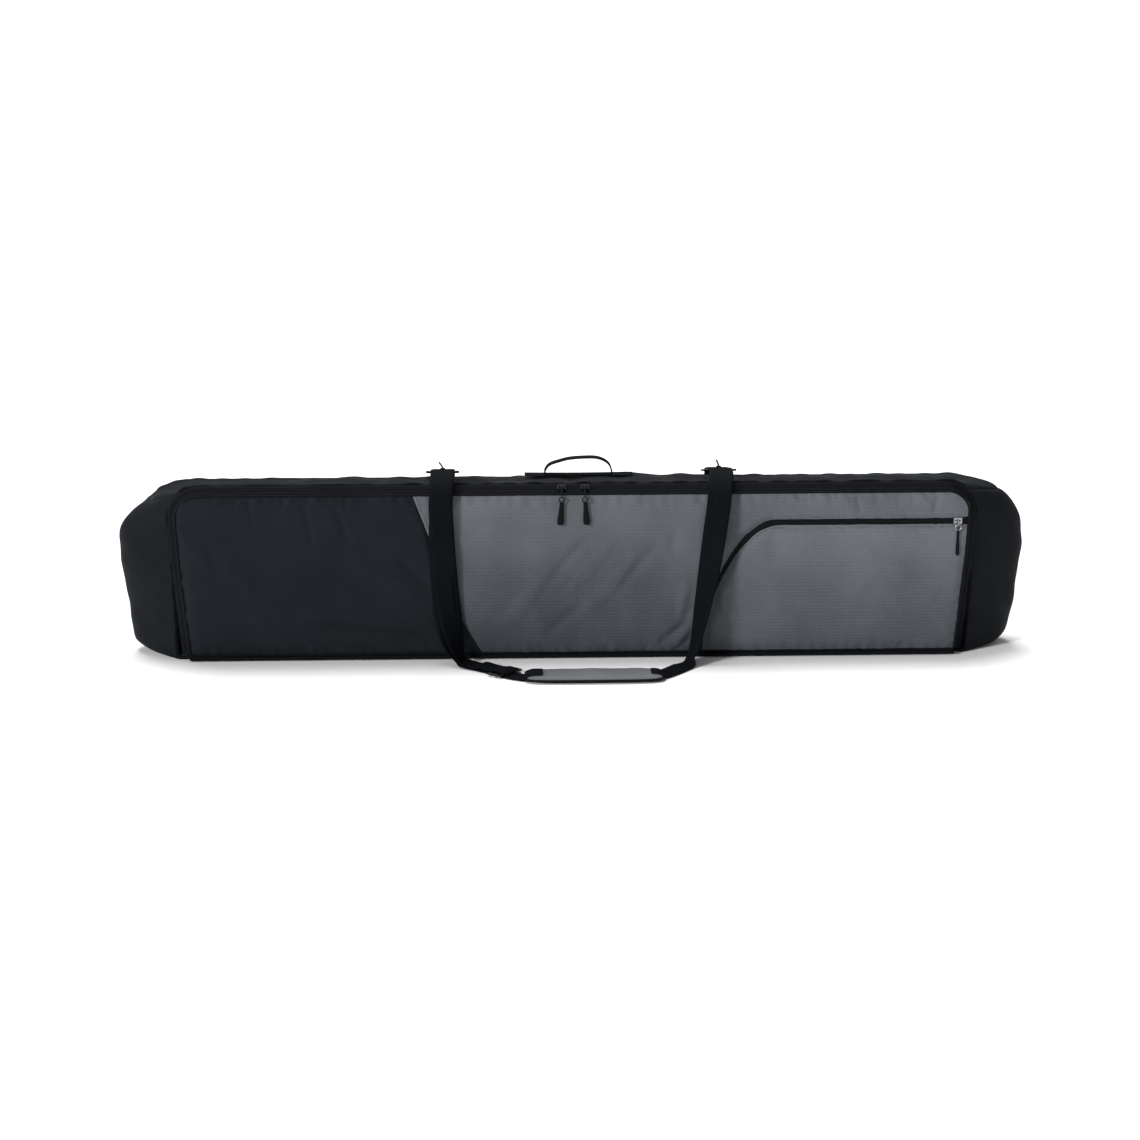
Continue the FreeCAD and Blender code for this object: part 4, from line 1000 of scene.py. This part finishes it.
pull_tab("left_pull_tab", "zip_pull_left_tab", "pull_left", tilt=-4.0)
pull_tab("right_pull_tab", "zip_pull_right_tab", "pull_right", tilt=4.0)
pull_tab("pocket_pull_grip", "pocket_pull_tab", "pocket_pull", ridges=1)

# ---- strap webbing


def webbing(name, body, path, sides, width, replaces=(), thick=1.9, per_span=14):
    """Flat webbing along a path; sides gives the direction across it at each of the path's points."""
    path = np.asarray(path, float)
    both = curve_through(np.hstack([path, np.asarray(sides, float)]), per_span)
    section = flat_section(width, thick)
    return swept(name, both[:, :3], unit(both[:, 3:]), section, WEBBING, body, replaces)


def first_only(side_name, *nodes):
    """CAD nodes that one pair of pieces takes over, named on its left piece only."""
    return nodes if side_name == "left" else ()


LEFT_X, RIGHT_X = -236.0, 268.0
STRAP_WIDTH, TAIL_WIDTH = 43.0, 40.0
bar = {}
for side_name, x in (("left", LEFT_X), ("right", RIGHT_X)):
    low, high = (np.array(p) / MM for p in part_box(f"strap_drop_{side_name}"))
    bar[side_name] = (x, high[1] - 4.3, high[2] - 4.3)


def strap_path(side_name, rest, rest_sides):
    """The strap from behind its swivel loop's bar, round the bar and on along the rest of its way."""
    x, y, z = bar[side_name]
    r = 3.4
    start = [
        (x, y - 26, z - r + 1.5), (x, y - 12, z - r - 0.2), (x, y - 1, z - r), (x, y + r * 0.95, z - 1.0),
        (x, y + r * 0.7, z + r * 0.75), (x, y - 2, z + r + 0.2),
    ]
    return start + rest, [(1, 0, 0)] * len(start) + rest_sides


def drop_route(places):
    """Webbing down the front from (x, y, z, turn in degrees away from flat) at each place."""
    points = [(x, y, z) for x, y, z, turn in places]
    sides = [(math.cos(math.radians(turn)), math.sin(math.radians(turn)), 0) for *_, turn in places]
    return points, sides


left_rest, left_sides = drop_route([
    (-236, -28, 336.5, 0), (-236.5, -56, 334, 0), (-237, -78, 325, 0),
    (-238, -90, 308, 0), (-239, -92.6, 285, 0),
    (-237, -92.6, 240, 3), (-234, -92.8, 190, -3), (-230, -92.8, 140, 5),
    (-225, -95, 95, 16), (-219, -100, 58, 36),
    (-212, -106, 28, 58), (-205, -112, 11, 70), (-195, -120, 3.2, 60),
])
left_rest += [
    (-172, -134, 1.5), (-149, -152.7, 1.3), (-127, -173, 1.3), (-106, -192.3, 1.3), (-80, -204.5, 1.4),
    (-40, -207, 1.4), (30, -207, 1.4),
]
left_sides += [
    (0.66, 0.75, 0), (0.677, 0.736, 0), (0.677, 0.736, 0), (0.6, 0.8, 0), (0.3, 0.95, 0),
    (0, 1, 0), (0, 1, 0),
]
right_rest, right_sides = drop_route([
    (268.5, -28, 336.5, 0), (267, -56, 334, -3), (264, -78, 325, -5),
    (261, -90, 308, -6), (259, -93.5, 285, -9),
    (253, -95, 240, -16), (246, -98, 190, -27), (238, -101.5, 140, -40),
    (229, -106, 90, -54), (221, -111, 50, -68),
    (212, -118, 20, -78), (203, -128, 5, -80),
])
right_rest += [
    (190, -146, 2.0), (170, -172, 2.0), (150, -194, 2.2),
    (130, -204, 2.4), (90, -207, 1.6), (45, -207, 1.6),
]
right_sides += [
    (0.72, -0.69, 0), (0.7, -0.71, 0), (0.5, -0.86, 0), (0.2, -0.97, 0), (0, -1, 0), (0, -1, 0),
]
for side_name, rest, rest_sides in (("left", left_rest, left_sides), ("right", right_rest, right_sides)):
    path, sides = strap_path(side_name, rest, rest_sides)
    replaced = [f"strap_drop_{side_name}", f"strap_run_{side_name}"]
    replaced += first_only(side_name, "strap_run_middle")
    strap = webbing(f"strap_{side_name}", "strap", path, sides, STRAP_WIDTH, replaced, per_span=10)

# the adjuster's second layer of webbing on the left drop
tail, tail_sides = drop_route([
    (-240, -90.2, 262, 0), (-241, -89.6, 232, 0), (-240, -89.4, 190, -6),
    (-238, -90, 140, -12), (-234, -92, 95, -4),
    (-228, -97, 58, 20), (-221, -103, 30, 50), (-211, -108, 14.5, 66), (-198, -118, 6.6, 60),
])
tail += [(-187, -122, 4.2), (-164, -141, 3.9)]
tail_sides += [(0.62, 0.78, 0), (0.66, 0.75, 0)]
webbing("strap_left_tail", "strap", tail, tail_sides, TAIL_WIDTH)
adjuster_loop = [
    (-170, -135, 8.2), (-160, -143.5, 7.5), (-148, -154, 6.8), (-140, -161.5, 7.4),
    (-133.5, -167.2, 9.0), (-127, -173, 9.4), (-121, -178.5, 8.6), (-115.5, -183.5, 6.6),
]
webbing("adjuster_loop", "adjuster", adjuster_loop, [(0.677, 0.736, 0)] * len(adjuster_loop), TAIL_WIDTH)

# ---- carry handle

foot_left, foot_right, handle_y = -50.0, 72.0, 10.0
arch = [
    (foot_left, 326.6), (foot_left + 1, 334), (foot_left + 9, 343.5),
    (foot_left + 28, 350), (-4, 354.2),
    (22, 356), (42, 355.6), (56, 351.5), (66, 344), (70.5, 335), (foot_right, 326.6),
]
handle_points = [(x, handle_y, z) for x, z in arch]
handle_sides = [(0, 1, 0)] * len(handle_points)
handle = webbing("handle_webbing", None, handle_points, handle_sides, 24.0, ("carry_handle",), thick=2.6)
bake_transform(handle)
low, high = (np.array(p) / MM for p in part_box("handle_patches"))
strip_x = np.linspace(low[0] - 2, high[0] + 2, 40)
strip = [(x, handle_y, high[2] - 1.0 - 0.8 * math.sin((x - low[0]) / 60)) for x in strip_x]
webbing(
    "handle_base_strip", "shell", strip, [(0, 1, 0)] * len(strip), 30.0, ("handle_patches",),
    thick=2.4, per_span=2,
)

# ---- D-ring anchors

# each tab from its seam over the ring and back, as (y, z)
ANCHOR_BEND = [
    (79.0, 302.5), (74, 308.5), (68, 314), (62, 322), (56.5, 324.6), (51.6, 321.5), (51.4, 317.5),
    (56, 314.8), (64, 311.5), (72, 307.8),
]
for side_name, x in (("left", LEFT_X), ("right", RIGHT_X)):
    path = [(x, y, z) for y, z in ANCHOR_BEND]
    replaced = first_only(side_name, "d_ring_anchors")
    webbing(f"ring_anchor_{side_name}", "shell", path, [(1, 0, 0)] * len(path), 44.0, replaced)

# ---- shoulder pad

pad_low, pad_high = (np.array(p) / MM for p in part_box("pad_foam"))
pad_centre = (pad_low + pad_high) / 2
half_long, half_wide = (pad_high[0] - pad_low[0]) / 2, (pad_high[1] - pad_low[1]) / 2


def pad_ring(shrink, z, count=160):
    """The pad's rounded outline, drawn in by shrink, at a height."""
    angle = np.linspace(0, 2 * np.pi, count, endpoint=False)
    c, s = np.cos(angle), np.sin(angle)
    reach = (np.abs(c) ** 5 + np.abs(s) ** 5) ** (-1 / 5)
    x = pad_centre[0] + (half_long - shrink) * c * reach
    y = pad_centre[1] + (half_wide - shrink) * s * reach
    return np.stack([x, y, np.full(count, z)], -1)


def pad_sheet(name, levels, material, replaces, flip=False):
    """One face of the pad: rings at (shrink, height above its underside), closed to a middle line."""
    rings = np.stack([pad_ring(shrink, Z0 + up) for shrink, up in levels])
    middle = rings[-1].mean(axis=0)
    reach = half_long * 0.78
    spine = np.tile(middle, (rings.shape[1], 1))
    spine[:, 0] = np.clip(rings[-1][:, 0], pad_centre[0] - reach, pad_centre[0] + reach)
    extra = [rings[-1] + (spine - rings[-1]) * share for share in (0.35, 0.7, 1.0)]
    points = np.concatenate([rings, np.stack(extra)])
    dimple = 0.5 * wobble(points[..., 0] / 16, points[..., 1] / 14, 81)
    points[2:, :, 2] += dimple[2:]
    points = np.concatenate([points, points[:, :1]], axis=1)
    uvs = points[..., :2].reshape(-1, 2) * MM
    faces = grid_faces(*points.shape[:2])
    if flip:
        faces = faces[:, ::-1]
    return piece(name, points.reshape(-1, 3), faces, material, "pad", replaces, uvs)


Z0 = pad_low[2]
top = pad_sheet(
    "pad_top_cloth", [(0, 2.5), (0.6, 4.4), (2.5, 6.6), (7, 8.4), (14, 9.3), (22, 9.6)],
    PAD_RIP, ("pad_top", "pad_foam"),
)
pad_sheet(
    "pad_under_cloth", [(0, 2.5), (0.8, 0.8), (3, -0.6), (8, -1.0), (20, -1.0)],
    DARK, ("pad_base",), flip=True,
)
tube("pad_piping_cord", pad_ring(-0.9, Z0 + 2.4), 2.0, PIPING, "pad", closed=True)
for side_name, x0, x1, width in (
    ("left", pad_low[0] - 2, pad_low[0] + 30, 40.0), ("right", pad_high[0] - 22, pad_high[0] + 3, 34.0),
):
    path = []
    for x in np.linspace(x0, x1, 7):
        past = max(0, (abs(x - pad_centre[0]) - half_long + 14) / 14)
        path.append((x, pad_centre[1], Z0 + 10.6 - 4.5 * past**1.6))
    replaced = first_only(side_name, "pad_keepers")
    webbing(f"pad_keeper_{side_name}", "pad", path, [(0, 1, 0)] * 7, width, replaced, per_span=3)

# ---- hinge cloth and tie-downs inside

hinge_profile = [(-57.5, 0.4), (-62, 0.5), (-68, 0.8), (-73, 1.4), (-76.5, 2.6)]
xs = np.linspace(-696, 696, 180)
hinge_points = np.array([[(x, y, z) for y, z in hinge_profile] for x in xs])
skin("hinge_cloth", hinge_points, DARK, "shell", ("hinge_strip",), thickness=0.8, offset=0.0)
for side_name, x in (("left", -360.0), ("right", 360.0)):
    zs = [26, 60, 110, 150, 200, 250, 280]
    path = [(x, 63.0 - 1.5 * math.sin(i * 0.9), z) for i, z in enumerate(zs)]
    replaced = first_only(side_name, "tie_downs")
    webbing(f"tie_down_{side_name}", "shell", path, [(1, 0, 0)] * len(zs), 38.0, replaced)

# ---- camera, light and floor


def look(obj, place, target):
    """Puts an object at a place, turned towards a target."""
    obj.location = place
    obj.rotation_euler = (Vector(target) - Vector(place)).to_track_quat("-Z", "Y").to_euler()


AZIMUTH, ELEVATION, DISTANCE = math.radians(-2.0), math.radians(14.5), 4.94
target = Vector((-0.0045, 0.0, 0.1465))
level = math.cos(ELEVATION)
direction = Vector((math.sin(AZIMUTH) * level, -math.cos(AZIMUTH) * level, math.sin(ELEVATION)))
lens = bpy.data.cameras.new("camera")
lens.lens, lens.sensor_width = 85.0, 36.0
camera = in_scene("camera", lens)
look(camera, target + direction * DISTANCE, target)
bpy.context.scene.camera = camera

floor_mesh = bpy.data.meshes.new("floor")
FAR = 110
floor_mesh.from_pydata([(-FAR, -FAR, 0), (FAR, -FAR, 0), (FAR, FAR, 0), (-FAR, FAR, 0)], [], [(0, 1, 2, 3)])
floor = in_scene("floor", floor_mesh)
white = Graph("studio_floor")
white.tint((0.86, 0.86, 0.87), (0.9, 0.9, 0.9), white.noise(white.place(), 0.6))
floor_mesh.materials.append(white.set(Roughness=0.9))


def sun(name, place, strength, spread):
    """A sun shining from a place towards the bag."""
    lamp = bpy.data.lights.new(name, "SUN")
    lamp.energy, lamp.angle = strength, math.radians(spread)
    obj = in_scene(name, lamp)
    look(obj, place, (0, 0, 0))


sun("overhead", (-0.35, 0.95, 3.0), 3.4, 30)
sun("side_key", (-1.5, -1.2, 0.75), 3.0, 14)
world = bpy.data.worlds.new("studio")
bpy.context.scene.world = world
world.use_nodes = True
world.node_tree.nodes["Background"].inputs["Color"].default_value = (1, 1, 1, 1)
world.node_tree.nodes["Background"].inputs["Strength"].default_value = 0.32
bpy.context.scene.view_settings.view_transform = "Standard"
